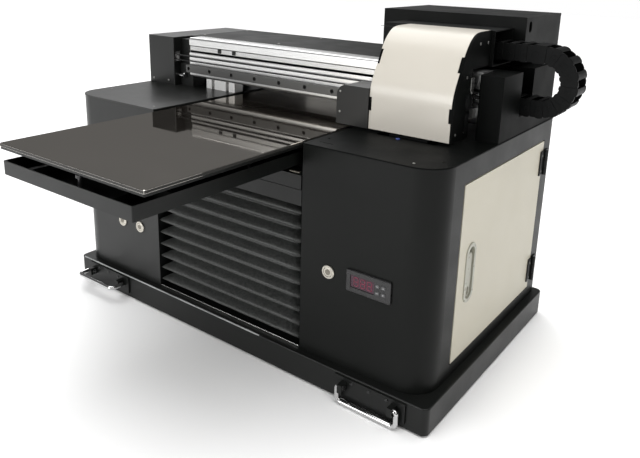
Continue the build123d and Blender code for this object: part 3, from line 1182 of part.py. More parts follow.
with BuildPart() as handle_rear_right:
    with BuildLine() as bail_rr:
        FilletPolyline((HANDLE_X - 38, BAIL_Y, HANDLE_Z), (HANDLE_X - 51, BAIL_Y, HANDLE_Z),
                       (HANDLE_X - 51, BAIL_Y, HANDLE_Z - BAIL_ARM), (HANDLE_X + 51, BAIL_Y, HANDLE_Z - BAIL_ARM),
                       (HANDLE_X + 51, BAIL_Y, HANDLE_Z), (HANDLE_X + 38, BAIL_Y, HANDLE_Z), radius=[3.6, 8, 8, 3.6])
    with BuildSketch(Plane(origin=(HANDLE_X - 38, BAIL_Y, HANDLE_Z), z_dir=(1, 0, 0))):
        Circle(ROD_R)
    sweep(path=bail_rr.line)
handle_rear_right.part.label = "handle_rear_right"
export_step(handle_rear_right.part, "parts/handle_rear_right.step")
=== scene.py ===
import bpy
import bmesh
import math
from mathutils import Matrix, Vector


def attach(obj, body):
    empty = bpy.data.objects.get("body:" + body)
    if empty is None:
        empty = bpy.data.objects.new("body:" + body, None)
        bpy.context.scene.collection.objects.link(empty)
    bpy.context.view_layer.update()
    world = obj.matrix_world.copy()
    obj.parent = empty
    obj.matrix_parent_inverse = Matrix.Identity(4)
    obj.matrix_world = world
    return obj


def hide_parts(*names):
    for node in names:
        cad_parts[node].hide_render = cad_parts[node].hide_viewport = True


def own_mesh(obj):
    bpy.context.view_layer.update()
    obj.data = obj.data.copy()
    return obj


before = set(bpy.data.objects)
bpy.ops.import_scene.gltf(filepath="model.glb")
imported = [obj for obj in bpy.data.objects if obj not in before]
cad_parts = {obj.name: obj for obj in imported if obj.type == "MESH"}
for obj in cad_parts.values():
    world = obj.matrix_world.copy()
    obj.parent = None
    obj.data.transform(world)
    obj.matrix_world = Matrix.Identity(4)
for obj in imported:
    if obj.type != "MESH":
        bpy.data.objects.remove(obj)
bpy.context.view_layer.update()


# ---------------------------------------------------------------- helpers

def new_obj(name, verts, faces, mat, smooth=False):
    me = bpy.data.meshes.new(name)
    me.from_pydata([tuple(v) for v in verts], [], faces)
    me.update()
    bm = bmesh.new()
    bm.from_mesh(me)
    bmesh.ops.recalc_face_normals(bm, faces=bm.faces)
    bm.to_mesh(me)
    bm.free()
    ob = bpy.data.objects.new(name, me)
    bpy.context.scene.collection.objects.link(ob)
    me.materials.append(mat)
    if smooth:
        me.polygons.foreach_set("use_smooth", [True] * len(me.polygons))
    return ob


def mm(v):
    return tuple(c / 1000.0 for c in v)


class Soup:
    """Collects simple solids, in millimetres, into one mesh."""

    def __init__(self):
        self.v, self.f = [], []

    def add(self, verts, faces):
        n = len(self.v)
        self.v += [mm(p) for p in verts]
        self.f += [tuple(i + n for i in f) for f in faces]

    def box(self, x0, x1, y0, y1, z0, z1):
        self.add([(x0, y0, z0), (x1, y0, z0), (x1, y1, z0), (x0, y1, z0),
                  (x0, y0, z1), (x1, y0, z1), (x1, y1, z1), (x0, y1, z1)],
                 [(0, 1, 2, 3), (4, 5, 6, 7), (0, 1, 5, 4), (1, 2, 6, 5), (2, 3, 7, 6), (3, 0, 4, 7)])

    def lathe(self, centre, axis, prof, n=32, phase=0.0):
        """prof is a list of (radius, distance along axis)."""
        a = Vector(axis).normalized()
        u = a.orthogonal().normalized()
        w = a.cross(u)
        c = Vector(centre)
        verts, faces = [], []
        for r, h in prof:
            for k in range(n):
                t = 2 * math.pi * k / n + phase
                verts.append(c + a * h + (u * math.cos(t) + w * math.sin(t)) * r)
        for i in range(len(prof) - 1):
            for k in range(n):
                k2 = (k + 1) % n
                faces.append((i * n + k, i * n + k2, (i + 1) * n + k2, (i + 1) * n + k))
        faces.append(tuple(range(n)))
        faces.append(tuple((len(prof) - 1) * n + k for k in range(n)))
        self.add(verts, faces)

    def prism(self, pts, plane, a, b):
        """Extrudes a closed outline of 2-D points from a to b. plane is the axis it is extruded along."""
        n = len(pts)
        verts = []
        for h in (a, b):
            for p, q in pts:
                verts.append({"x": (h, p, q), "y": (p, h, q), "z": (p, q, h)}[plane])
        faces = [tuple(range(n)), tuple(range(n, 2 * n))]
        for k in range(n):
            k2 = (k + 1) % n
            faces.append((k, k2, n + k2, n + k))
        self.add(verts, faces)

    def build(self, name, mat, bevel=0.0, seg=2, smooth=False, angle=35):
        ob = new_obj(name, self.v, self.f, mat, smooth)
        if bevel:
            m = ob.modifiers.new("bevel", "BEVEL")
            m.width = bevel / 1000.0
            m.segments = seg
            m.limit_method = "ANGLE"
            m.angle_limit = math.radians(angle)
            m.harden_normals = False
            apply(ob)
        return ob


def apply(ob):
    deps = bpy.context.evaluated_depsgraph_get()
    me = bpy.data.meshes.new_from_object(ob.evaluated_get(deps))
    old = ob.data
    ob.modifiers.clear()
    ob.data = me
    bpy.data.meshes.remove(old)
    return ob


# ---------------------------------------------------------------- materials

def base(name, colour, rough, metal=0.0, coat=0.0):
    m = bpy.data.materials.new(name)
    m.use_nodes = True
    nt = m.node_tree
    b = nt.nodes["Principled BSDF"]
    b.inputs["Base Color"].default_value = (*colour, 1)
    b.inputs["Roughness"].default_value = rough
    b.inputs["Metallic"].default_value = metal
    b.inputs["Coat Weight"].default_value = coat
    return m, nt, b


def coords(nt, scale=(1, 1, 1)):
    tc = nt.nodes.new("ShaderNodeTexCoord")
    mp = nt.nodes.new("ShaderNodeMapping")
    mp.inputs["Scale"].default_value = scale
    nt.links.new(tc.outputs["Object"], mp.inputs["Vector"])
    return mp


def noise(nt, vec, scale, detail=3.0, rough=0.5):
    n = nt.nodes.new("ShaderNodeTexNoise")
    n.inputs["Scale"].default_value = scale
    n.inputs["Detail"].default_value = detail
    n.inputs["Roughness"].default_value = rough
    nt.links.new(vec.outputs["Vector"], n.inputs["Vector"])
    return n


def ramp(nt, src, lo, hi, a=0.35, b=0.65):
    r = nt.nodes.new("ShaderNodeMapRange")
    r.inputs["From Min"].default_value = a
    r.inputs["From Max"].default_value = b
    r.inputs["To Min"].default_value = lo
    r.inputs["To Max"].default_value = hi
    nt.links.new(src, r.inputs["Value"])
    return r


def mixcol(nt, fac, c1, c2, a=0.35, b=0.65):
    r = nt.nodes.new("ShaderNodeValToRGB")
    r.color_ramp.elements[0].position = a
    r.color_ramp.elements[1].position = b
    r.color_ramp.elements[0].color = (*c1, 1)
    r.color_ramp.elements[1].color = (*c2, 1)
    nt.links.new(fac, r.inputs["Fac"])
    return r


def bump(nt, b, src, strength, dist):
    bp = nt.nodes.new("ShaderNodeBump")
    bp.inputs["Strength"].default_value = strength
    bp.inputs["Distance"].default_value = dist
    nt.links.new(src, bp.inputs["Height"])
    nt.links.new(bp.outputs["Normal"], b.inputs["Normal"])


def surface(name, colour, rough, metal=0.0, coat=0.0, vary=0.12, rvary=0.05, grain=0.0, gscale=900.0,
            scale=(1, 1, 1), nscale=6.0, gdist=0.0003, spec=0.5, dark=None):
    """A coated or metal surface with slow colour and gloss changes and a fine grain."""
    m, nt, b = base(name, colour, rough, metal, coat)
    b.inputs["Specular IOR Level"].default_value = spec
    mp = coords(nt, scale)
    n = noise(nt, mp, nscale)
    c2 = dark or tuple(c * (1 - vary) for c in colour)
    c1 = tuple(min(1.0, c * (1 + vary * 0.6)) for c in colour)
    col = mixcol(nt, n.outputs["Fac"], c2, c1)
    nt.links.new(col.outputs["Color"], b.inputs["Base Color"])
    n2 = noise(nt, mp, nscale * 3.1, 4.0)
    r = ramp(nt, n2.outputs["Fac"], max(0.02, rough - rvary), min(1.0, rough + rvary))
    nt.links.new(r.outputs["Result"], b.inputs["Roughness"])
    if grain:
        g = noise(nt, mp, gscale, 2.0)
        bump(nt, b, g.outputs["Fac"], grain, gdist)
    return m


black = surface("black_powder", (0.0062, 0.0068, 0.0063), 0.36, vary=0.10, rvary=0.04, grain=0.30, gscale=1500, gdist=0.00012, spec=0.22)
black_top = surface("black_top", (0.0085, 0.0090, 0.0085), 0.20, vary=0.08, rvary=0.03, grain=0.10, gscale=1500, gdist=0.00006, spec=0.22)
cover_black = surface("black_cover", (0.0110, 0.0115, 0.0112), 0.36, vary=0.10, rvary=0.04, grain=0.22, gscale=1500, gdist=0.0001, spec=0.25)
# painted shade: a darker, duller copy of the black paint for the right top plate, right end cover and carriage side
# plates, standing in for the shade on that side
side_shaded_black = surface("black_painted_shade_side", (0.0032, 0.0036, 0.0034), 0.50, vary=0.10, rvary=0.04, grain=0.30, gscale=1500, gdist=0.00012, spec=0.035)
# painted shade: a darker copy of the black paint for the right cabinet, standing in for the shade on its front and
# corner
cabinet_shaded_black = surface("black_painted_shade_cabinet", (0.0052, 0.0058, 0.0053), 0.36, vary=0.10, rvary=0.04, grain=0.30, gscale=1500, gdist=0.00012, spec=0.12)
panel_black = surface("black_panel", (0.0068, 0.0073, 0.0070), 0.46, vary=0.10, rvary=0.04, grain=0.25, gscale=1500, gdist=0.00012, spec=0.06)
# painted light: a lighter, glossier copy of the black paint for the left cabinet and left end cover, standing in for
# the light from the left
left_lit_black = surface("black_painted_light_left", (0.0075, 0.0081, 0.0076), 0.36, vary=0.10, rvary=0.04, grain=0.30, gscale=1500, gdist=0.00012, spec=0.30)
# painted light: a lighter copy of the black paint for the left top plate, standing in for the light on it; the right
# top plate gets the shaded copy
plate_lit_black = surface("black_painted_light_plate", (0.0110, 0.0115, 0.0110), 0.30, vary=0.08, rvary=0.02, grain=0.04, gscale=1500, gdist=0.00003, spec=0.36)
cream = surface("cream_satin", (0.575, 0.543, 0.480), 0.36, vary=0.02, rvary=0.03, grain=0.06, gscale=1100, gdist=0.0001, spec=0.5, coat=0.1)
cream_door = surface("cream_door", (0.525, 0.493, 0.398), 0.40, vary=0.02, rvary=0.03, grain=0.06, gscale=1100, gdist=0.0001, spec=0.45)
alu = surface("anodised", (0.60, 0.60, 0.595), 0.30, metal=1.0, vary=0.05, rvary=0.05, grain=0.10, gscale=700, scale=(0.02, 1, 1), nscale=8, gdist=0.0001)
alu_grey = surface("anodised_grey", (0.30, 0.30, 0.30), 0.38, metal=1.0, vary=0.08, rvary=0.05, grain=0.10, gscale=700, scale=(0.02, 1, 1), nscale=8, gdist=0.0001)
alu_strip = surface("slot_strip", (0.46, 0.46, 0.455), 0.34, metal=1.0, vary=0.06, rvary=0.05, grain=0.08, gscale=700, scale=(0.02, 1, 1), nscale=8, gdist=0.0001)
steel = surface("ground_steel", (0.52, 0.52, 0.51), 0.24, metal=1.0, vary=0.06, rvary=0.05, grain=0.06, gscale=900, scale=(0.03, 1, 1), nscale=9, gdist=0.00008)
rail_dark = surface("rail_face", (0.083, 0.083, 0.081), 0.36, metal=0.6, vary=0.10, rvary=0.05, grain=0.06, gscale=900, scale=(0.03, 1, 1), nscale=9, gdist=0.00008)
chrome = surface("chrome", (0.562, 0.562, 0.562), 0.10, metal=1.0, vary=0.03, rvary=0.03, nscale=20)
zinc = surface("screw_steel", (0.22, 0.22, 0.21), 0.35, metal=1.0, vary=0.10, rvary=0.08, nscale=200)
plastic = surface("chain_plastic", (0.0045, 0.0048, 0.0048), 0.46, vary=0.10, rvary=0.06, grain=0.2, gscale=1200, gdist=0.0001, spec=0.07)
gloss = surface("instrument_case", (0.012, 0.012, 0.0125), 0.28, vary=0.08, rvary=0.04, nscale=30, grain=0.08, gscale=1500, gdist=0.00006)
rubber = surface("rubber", (0.010, 0.010, 0.010), 0.62, vary=0.10, rvary=0.06, grain=0.2, gscale=900, gdist=0.0002, spec=0.3)
blue = surface("blue_pad", (0.012, 0.040, 0.22), 0.45, vary=0.15, nscale=60)
brass = surface("inlet_pins", (0.45, 0.36, 0.18), 0.3, metal=1.0, nscale=60)
red = surface("display_digits", (0.17, 0.010, 0.035), 0.35, nscale=60)
window = surface("display_window", (0.036, 0.008, 0.020), 0.12, vary=0.2, nscale=40, rvary=0.02)
key_mat = surface("key_caps", (0.055, 0.055, 0.057), 0.38, vary=0.08, nscale=60)
legend = surface("key_marks", (0.35, 0.35, 0.35), 0.5, nscale=60)
turned = surface("turned_steel", (0.50, 0.475, 0.42), 0.30, metal=1.0, vary=0.05, rvary=0.05, nscale=40)
fins = surface("cooler_fins", (0.35, 0.35, 0.35), 0.4, metal=1.0, nscale=40)
led = surface("lamp_window", (0.10, 0.085, 0.16), 0.1, vary=0.1, nscale=40)


def glass_surface():
    m, nt, b = base("bed_glass", (0.010, 0.0085, 0.0072), 0.04, 0.0, 0.0)
    mp = coords(nt)
    n = noise(nt, mp, 4.0)
    col = mixcol(nt, n.outputs["Fac"], (0.0085, 0.0072, 0.0062), (0.0120, 0.0100, 0.0086))
    nt.links.new(col.outputs["Color"], b.inputs["Base Color"])
    r = ramp(nt, noise(nt, mp, 14.0, 5.0).outputs["Fac"], 0.02, 0.05)
    nt.links.new(r.outputs["Result"], b.inputs["Roughness"])
    b.inputs["Specular IOR Level"].default_value = 1.0
    b.inputs["IOR"].default_value = 2.9
    b.inputs["Specular Tint"].default_value = (1.0, 0.955, 0.89, 1.0)
    return m


glass = glass_surface()
glass_edge = surface("glass_edge", (0.030, 0.029, 0.027), 0.40, vary=0.1, nscale=20, spec=0.15)
# painted light: a brightened copy of the aluminium for the beam supports, standing in for the light on them
post_alu_painted_light = surface("post_alu_painted_light", (0.80, 0.80, 0.79), 0.45, metal=0.35, vary=0.05, nscale=8)
button_face = surface("button_face", (0.20, 0.185, 0.155), 0.45, metal=0.8, vary=0.2, nscale=60)
latch_grey = surface("latch_silver", (0.36, 0.355, 0.295), 0.32, vary=0.04, nscale=30, spec=0.5)
# painted highlight: light grey for the strip on the base tray's rounded top edge, standing in for the light it catches
edge_painted_highlight = surface("painted_edge_highlight", (0.30, 0.31, 0.31), 0.35, vary=0.3, nscale=25, rvary=0.1)


def bellows_surface():
    m, nt, b = base("bellows_cloth", (0.02, 0.02, 0.02), 0.55)
    mp = coords(nt)
    n = noise(nt, mp, 260.0, 5.0, 0.6)
    col = mixcol(nt, n.outputs["Fac"], (0.010, 0.011, 0.010), (0.042, 0.044, 0.042))
    nt.links.new(col.outputs["Color"], b.inputs["Base Color"])
    r = ramp(nt, n.outputs["Fac"], 0.42, 0.62)
    nt.links.new(r.outputs["Result"], b.inputs["Roughness"])
    g = noise(nt, mp, 420.0, 4.0, 0.6)
    bump(nt, b, g.outputs["Fac"], 0.35, 0.0006)
    return m


cloth = bellows_surface()

# ---------------------------------------------------------------- finishes on the CAD nodes

LOOK = {
    "base_tray": black, "rubber_feet": rubber, "left_cabinet": left_lit_black, "left_top_plate": plate_lit_black, "right_cabinet": cabinet_shaded_black,
    "right_top_plate": side_shaded_black, "rear_panel": black, "cabinet_door": cream_door, "door_latch_cup": latch_grey,
    "door_latch_lever": latch_grey, "door_hinge_leaves": black, "door_hinge_arms": black, "button_bezels": turned,
    "left_button_outer": turned, "left_button_inner": turned, "right_button": turned, "temperature_controller": gloss,
    "key_upper_left": key_mat, "key_upper_right": key_mat, "key_lower_left": key_mat, "key_lower_right": key_mat,
    "power_inlet": plastic, "front_bellows": cloth, "lift_tower": alu_grey, "lift_guide_shafts": steel,
    "lift_platform": black, "bellows_top_strip": black, "table_blocks": steel, "table_frame": black, "table_rails": steel,
    "table_posts": gloss, "bed_plate": black, "glass_bed": glass, "gantry_beam": alu, "beam_supports": post_alu_painted_light,
    "linear_rail": rail_dark, "gantry_left_cover": left_lit_black, "gantry_right_cover": side_shaded_black, "gantry_top_cover": panel_black,
    "gantry_rear_cover": cover_black, "carriage_belt": rubber, "belt_idler_pulley": steel, "belt_drive_pulley": steel,
    "carriage_motor": black, "carriage_blocks": steel, "carriage_plate": black, "print_head": plastic, "carriage_cover": cream,
    "carriage_side_plates": side_shaded_black, "carriage_top_housing": panel_black, "uv_lamp_housing": cover_black, "uv_lamp_module": fins,
    "cable_chain": plastic, "ink_box": panel_black, "capping_station": plastic, "handle_plates": black,
    "handle_front_left": chrome, "handle_front_right": chrome, "handle_rear_left": chrome, "handle_rear_right": chrome,
}
for node, mat in LOOK.items():
    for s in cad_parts[node].material_slots:
        s.material = mat


# ---------------------------------------------------------------- bellows

def bellows():
    """Folded cloth with soft ridges, set inside the modelled folds, with mitred corners."""
    z0, pitch, folds, depth = 49.7, 23.6, 10, 20.0
    prof = []                      # (outward distance, z)
    step = 10
    for k in range(folds):
        za = z0 + pitch * k
        for i in range(step):
            t = i / step
            up = t if t < 0.5 else 1 - t
            w = up * 2             # 0 at the valley, 1 at the ridge
            soft = w - 0.055 * math.exp(-((w - 1) / 0.10) ** 2) + 0.05 * math.exp(-(w / 0.10) ** 2)
            sag = -0.035 * math.sin(math.pi * w) * (1 if t < 0.5 else -1)
            prof.append((depth * min(0.985, soft) , za + pitch * (t + sag * 0.6)))
    prof.append((0.9, z0 + pitch * folds))
    n = len(prof)
    xl, xr, yf, yb = -148.0, 142.0, -198.0, 150.0

    def waves(u, d, seed):
        return 0.25 * math.sin(u * 0.11 + seed * 1.7) * d / depth

    verts, faces, cols = [], [], 0
    stations = []
    for i in range(25):
        stations.append(("l", yb + (yf - yb) * i / 24.0))
    for i in range(1, 33):
        stations.append(("f", xl + (xr - xl) * i / 32.0))
    for i in range(1, 25):
        stations.append(("r", yf + (yb - yf) * i / 24.0))
    for si, (side, s) in enumerate(stations):
        for j, (d, z) in enumerate(prof):
            zz = z + waves(s, d, j // step)
            d2 = d - 0.15
            if side == "l":
                y = s - (d2 if i and si == 24 else 0)
                verts.append((xl - d2, (yf - d2) if si == 24 else s, zz))
            elif side == "f":
                last = si == 24 + 32
                verts.append(((xr + d2) if last else s, yf - d2, zz))
            else:
                verts.append((xr + d2, s, zz))
    m = len(stations)
    for i in range(m - 1):
        for j in range(n - 1):
            a = i * n + j
            faces.append((a, a + n, a + n + 1, a + 1))
    ob = new_obj("bellows_cloth", [mm(v) for v in verts], faces, cloth, smooth=True)
    sol = ob.modifiers.new("t", "SOLIDIFY")
    sol.thickness = 0.0012
    sol.offset = 0
    apply(ob)
    me = ob.data
    me.polygons.foreach_set("use_smooth", [True] * len(me.polygons))
    return ob


cloth_ob = bellows()
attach(cloth_ob, "lift")
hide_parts("front_bellows")
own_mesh(cloth_ob)

# bright clamp strip that holds the cloth's foot
s = Soup()
s.box(-168, 162, -219.2, -217.6, 46.4, 49.4)
o = s.build("bellows_foot_strip", steel, bevel=0.4)
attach(o, "chassis")


# ---------------------------------------------------------------- drag chain

def chain():
    cx, cz, ro, ri = 414.0, 473.0, 56.5, 27.0
    y0, y1 = 45.3, 89.7
    rm = (ro + ri) / 2
    pitch = 19.0

    def at(dist):
        """Centre line: upper run to the right, round the bend, lower run to the left."""
        up = cx - 158.0
        arc = math.pi * rm
        if dist < up:
            return (148.0 + dist, cz + rm, 0.0)
        if dist < up + arc:
            a = (dist - up) / rm
            return (cx + rm * math.sin(a), cz + rm * math.cos(a), a)
        d = dist - up - arc
        return (cx - d, cz - rm, math.pi)

    total = (cx - 158.0) + math.pi * rm + (cx - 62.0)
    links = int(total // pitch)
    h = (ro - ri) / 2
    body, bars = Soup(), Soup()

    def tr(dist, r, y):
        # r outward from the bend's centre
        x, z, a = at(dist)
        return (x + r * math.sin(a), y, z + r * math.cos(a))

    def strip(soup, d0, d1, r0, r1, ya, yb, n, c=0.0):
        """A bar that follows the centre line from d0 to d1, with its corners cut by c."""
        outline = []
        for i in range(n + 1):
            outline.append((d0 + (d1 - d0) * i / n, r1 - (c if i in (0, n) else 0.0)))
        for i in range(n, -1, -1):
            outline.append((d0 + (d1 - d0) * i / n, r0 + (c if i in (0, n) else 0.0)))
        m = len(outline)
        verts = [tr(d, r, ya) for d, r in outline] + [tr(d, r, yb) for d, r in outline]
        faces = [tuple(range(m)), tuple(range(m, 2 * m))] + [(q, (q + 1) % m, m + (q + 1) % m, m + q) for q in range(m)]
        soup.add(verts, faces)

    for k in range(links):
        d = k * pitch
        # side plates: a proud half and a set-back half that tucks under the next link
        for side in (0, 1):
            oy = y0 if side == 0 else y1
            sg = 1 if side == 0 else -1
            strip(body, d + 0.5, d + 11.5, -h + 0.7, h - 0.9, oy, oy + sg * 4.6, 5, 1.6)
            strip(body, d + 11.0, d + pitch + 0.8, -h + 1.6, h - 1.8, oy + sg * 1.0, oy + sg * 4.6, 4, 1.0)
            # pin boss
            x, z, a = at(d + 6.0)
            body.lathe((x, oy + sg * 1.0, z), (0, -sg, 0), [(5.0, 0), (5.0, 1.0), (4.4, 1.25), (2.2, 1.25), (2.0, 0.9)], n=20)
        # crossbars
        strip(bars, d + 1.2, d + 10.4, h - 3.2, h - 0.25, y0 + 0.5, y1 - 0.5, 3, 0.8)
        strip(bars, d + 1.6, d + 10.0, -h + 0.3, -h + 3.0, y0 + 0.5, y1 - 0.5, 3, 0.8)
    a = body.build("chain_links", plastic, bevel=0.35)
    b = bars.build("chain_bars", plastic, bevel=0.5)
    # hoses and leads inside, seen between the bars
    hoses = Soup()
    segs = 90
    for hy, hr, off in ((53.5, 3.0, 0.0), (60.5, 3.0, 2.0), (67.5, 3.0, -2.0), (74.5, 3.0, 1.0), (80.5, 2.4, -3.0)):
        ring, verts, faces = 10, [], []
        for i in range(segs + 1):
            x, z, ang = at(2.0 + (total - 6.0) * i / segs)
            ca, sa = math.cos(ang), math.sin(ang)
            for q in range(ring):
                t = 2 * math.pi * q / ring
                r = off + hr * math.cos(t)
                verts.append((x + r * sa, hy + hr * math.sin(t), z + r * ca))
        for i in range(segs):
            for q in range(ring):
                q2 = (q + 1) % ring
                faces.append((i * ring + q, i * ring + q2, (i + 1) * ring + q2, (i + 1) * ring + q))
        faces.append(tuple(range(ring)))
        faces.append(tuple(segs * ring + q for q in range(ring)))
        hoses.add(verts, faces)
    c = hoses.build("chain_hoses", rubber, smooth=True)
    for o in (a, b, c):
        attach(o, "chain")
    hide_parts("cable_chain")


chain()


# ---------------------------------------------------------------- fasteners

def button_head(soup, centre, axis, r, h, hexr=None):
    """Round-topped socket screw head."""
    hexr = hexr or r * 0.42
    soup.lathe(centre, axis, [(r, 0.0), (r, h * 0.35), (r * 0.93, h * 0.65), (r * 0.78, h * 0.9), (r * 0.58, h)], n=24)
    soup.lathe(Vector(centre) + Vector(axis) * (h * 0.985), axis, [(hexr, 0.0), (hexr, 0.08), (hexr * 0.4, 0.1)], n=6)


def screws(name, body, mat, items, r=3.4, h=1.6):
    sp = Soup()
    for c, ax in items:
        button_head(sp, c, ax, r, h)
    ob = sp.build(name, mat)
    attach(ob, body)
    return ob


screws("left_cover_screws", "chassis", zinc,
       [((-388.7, -34, 395.3), (0, -1, 0)), ((-342.1, -34, 395.3), (0, -1, 0)),
        ((-401, 20, 400), (-1, 0, 0)), ((-401, 150, 400), (-1, 0, 0))], r=2.6, h=0.9)
screws("top_cover_screws", "chassis", zinc,
       [((-314, 47, 486.4), (0, 0, 1)), ((-102, 41, 486.4), (0, 0, 1)), ((-314, 180, 486.4), (0, 0, 1)), ((-102, 180, 486.4), (0, 0, 1))], r=2.8, h=1.0)
screws("right_plate_screws", "chassis", zinc,
       [((178.4, -174.3, 384.7), (0, 0, 1)), ((367.9, -172.9, 384.7), (0, 0, 1)), ((340, -205, 386.4), (0, 0, 1)), ((178, 205, 386.4), (0, 0, 1)), ((372, 205, 386.4), (0, 0, 1))], r=2.0, h=1.0)
screws("left_plate_screws", "chassis", zinc,
       [((-380, -150, 386.4), (0, 0, 1)), ((-186, -204, 386.4), (0, 0, 1)), ((-386, 205, 386.4), (0, 0, 1)), ((-186, 205, 386.4), (0, 0, 1))], r=2.0, h=0.8)
screws("handle_screws", "chassis", gloss,
       [((sx * 307 + dx, sy * 236, 37.5), (0, sy, 0)) for sx in (-1, 1) for sy in (-1, 1) for dx in (-30, 0, 30)], r=2.6, h=1.4)
screws("carriage_side_screws", "carriage", zinc,
       [((340.0, -84.0, 402.0), (1, 0, 0)), ((340.0, -55.0, 402.0), (1, 0, 0)), ((340.0, -58.0, 484.0), (1, 0, 0)),
        ((340.0, -20.0, 530.0), (1, 0, 0)), ((340.0, 8.0, 530.0), (1, 0, 0))], r=2.4, h=1.0)
screws("lamp_screw", "carriage", zinc, [((143.5, -98, 411.0), (0, -1, 0)), ((143.5, -98, 444.0), (0, -1, 0))], r=1.9, h=0.8)
screws("rear_panel_screws", "chassis", zinc,
       [((x, 222, z), (0, 1, 0)) for x in (-155, 150) for z in (64, 220)], r=2.6, h=1.2)
screws("hinge_screws_fixed", "chassis", zinc,
       [((389.4, 199.5, z + d), (1, 0, 0)) for z in (310, 105) for d in (-14, 14)], r=2.2, h=0.9)
screws("hinge_screws_door", "door", zinc,
       [((389.8, 175.5, z + d), (1, 0, 0)) for z in (310, 105) for d in (-14, 14)], r=2.2, h=0.9)
screws("inlet_screws", "chassis", zinc, [((-320.5, 224.6, 96), (0, 1, 0)), ((-279.5, 224.6, 96), (0, 1, 0))], r=1.8, h=0.8)

# cover strip in the beam's upper slot, with two square nuts on it
s = Soup()
s.box(-284.6, 349.0, -23.0, -22.4, 458.2, 472.8)
o = s.build("slot_strip", alu_strip, bevel=0.15)
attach(o, "chassis")
s = Soup()
for x in (-201, -162):
    s.box(x - 4, x + 4, -24.6, -22.9, 463.6, 471.4)
o = s.build("slot_nuts", black, bevel=0.4)
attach(o, "chassis")

# rail screws sunk in their holes
s = Soup()
for i in range(11):
    x = -276 + 60 * i
    s.lathe((x, -31.6, 427), (0, -1, 0), [(3.5, 0), (3.5, 2.2), (3.2, 2.6), (1.9, 2.6), (1.9, 1.2)], n=24)
o = s.build("rail_screws", rubber)
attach(o, "chassis")

# bright end face of the rail
s = Soup()
s.box(-283.6, -283.0, -37.0, -25.2, 420.4, 433.6)
o = s.build("rail_end", steel, bevel=0.2)
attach(o, "chassis")

# toothed inner face of the belt, upper run
s = Soup()
for i in range(0, 352):
    x = -343 + i * 2.0
    s.box(x - 0.5, x + 0.5, -31.0, -26.4, 449.9, 450.75)
o = s.build("belt_teeth", rubber)
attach(o, "chassis")

# chrome stop pin beside the left end cover
s = Soup()
s.lathe((-322.8, -22.5, 408.0), (1, 0, 0), [(4.0, 0), (4.0, 14.0), (5.4, 14.2), (5.4, 19.0), (4.8, 20.0)], n=28)
o = s.build("stop_pin", chrome, smooth=False)
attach(o, "chassis")


# ---------------------------------------------------------------- carriage details

# side plate fittings: clip, round seal, cable oblong
s = Soup()
s.box(340.0, 342.4, -46.0, -36.0, 462.0, 482.0)
s.box(340.0, 343.0, -44.0, -38.0, 458.0, 462.0)
o = s.build("carriage_clip", zinc, bevel=0.7)
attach(o, "carriage")
s = Soup()
s.lathe((340.0, -47.0, 446.0), (1, 0, 0), [(13.0, 0), (13.0, 1.4), (12.2, 2.0), (9.4, 2.0), (9.0, 0.8)], n=40)
o = s.build("carriage_ring", plastic)
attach(o, "carriage")
s = Soup()
pts = []
for k in range(32):
    t = 2 * math.pi * k / 32
    yc = -52.0 + 5.5 * math.cos(t)
    zc = 414.0 + 5.5 * math.sin(t) + (10.0 if math.sin(t) > 0 else -10.0)
    pts.append((yc, zc))
s.prism(pts, "x", 340.0, 341.8)
o = s.build("carriage_grommet", plastic, bevel=0.4)
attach(o, "carriage")

# a folded seam line on the housing
s = Soup()
s.box(140.4, 344.6, 19.9, 20.5, 540.5, 541.1)
o = s.build("housing_seam", black)
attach(o, "carriage")

# lamp window under the lamp, print head nozzle plates
s = Soup()
s.box(142, 192, -94, -52, 391.6, 392.9)
o = s.build("lamp_glass", led, bevel=0.3)
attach(o, "carriage")
s = Soup()
for i in range(4):
    s.box(240 + i * 14, 250 + i * 14, -86, -62, 388.3, 388.7)
o = s.build("nozzle_rows", steel, bevel=0.1)
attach(o, "carriage")

# stiffening ribs on the chain end clamp
s = Soup()
s.box(146, 160, 47, 88, 500.6, 502.6)
o = s.build("chain_clamp", steel, bevel=0.4)
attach(o, "carriage")


# ---------------------------------------------------------------- controller face and buttons

s = Soup()
s.box(258.8, 299.2, -221.9, -221.5, 186.9, 206.3)
o = s.build("display_window", window, bevel=0.15)
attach(o, "chassis")

SEG = {"a": (0, 1, 1, 1), "b": (1, 1, 1, .5), "c": (1, .5, 1, 0), "d": (0, 0, 1, 0), "e": (0, .5, 0, 0), "f": (0, 1, 0, .5), "g": (0, .5, 1, .5)}


def digit(soup, x, z, w, h, segs):
    t = w * 0.13
    for q in segs:
        x0, z0, x1, z1 = SEG[q]
        xa, xb = x + min(x0, x1) * w - t / 2, x + max(x0, x1) * w + t / 2
        za, zb = z + min(z0, z1) * h - t / 2, z + max(z0, z1) * h + t / 2
        soup.box(xa, xb, -222.15, -221.85, za, zb)


s = Soup()
for i, segs in enumerate(("abcdefg", "abcdefg", "abcdefg")):
    digit(s, 264.5 + i * 11.5, 190.0, 7.2, 13.0, segs)
o = s.build("display_digits", red)
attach(o, "chassis")

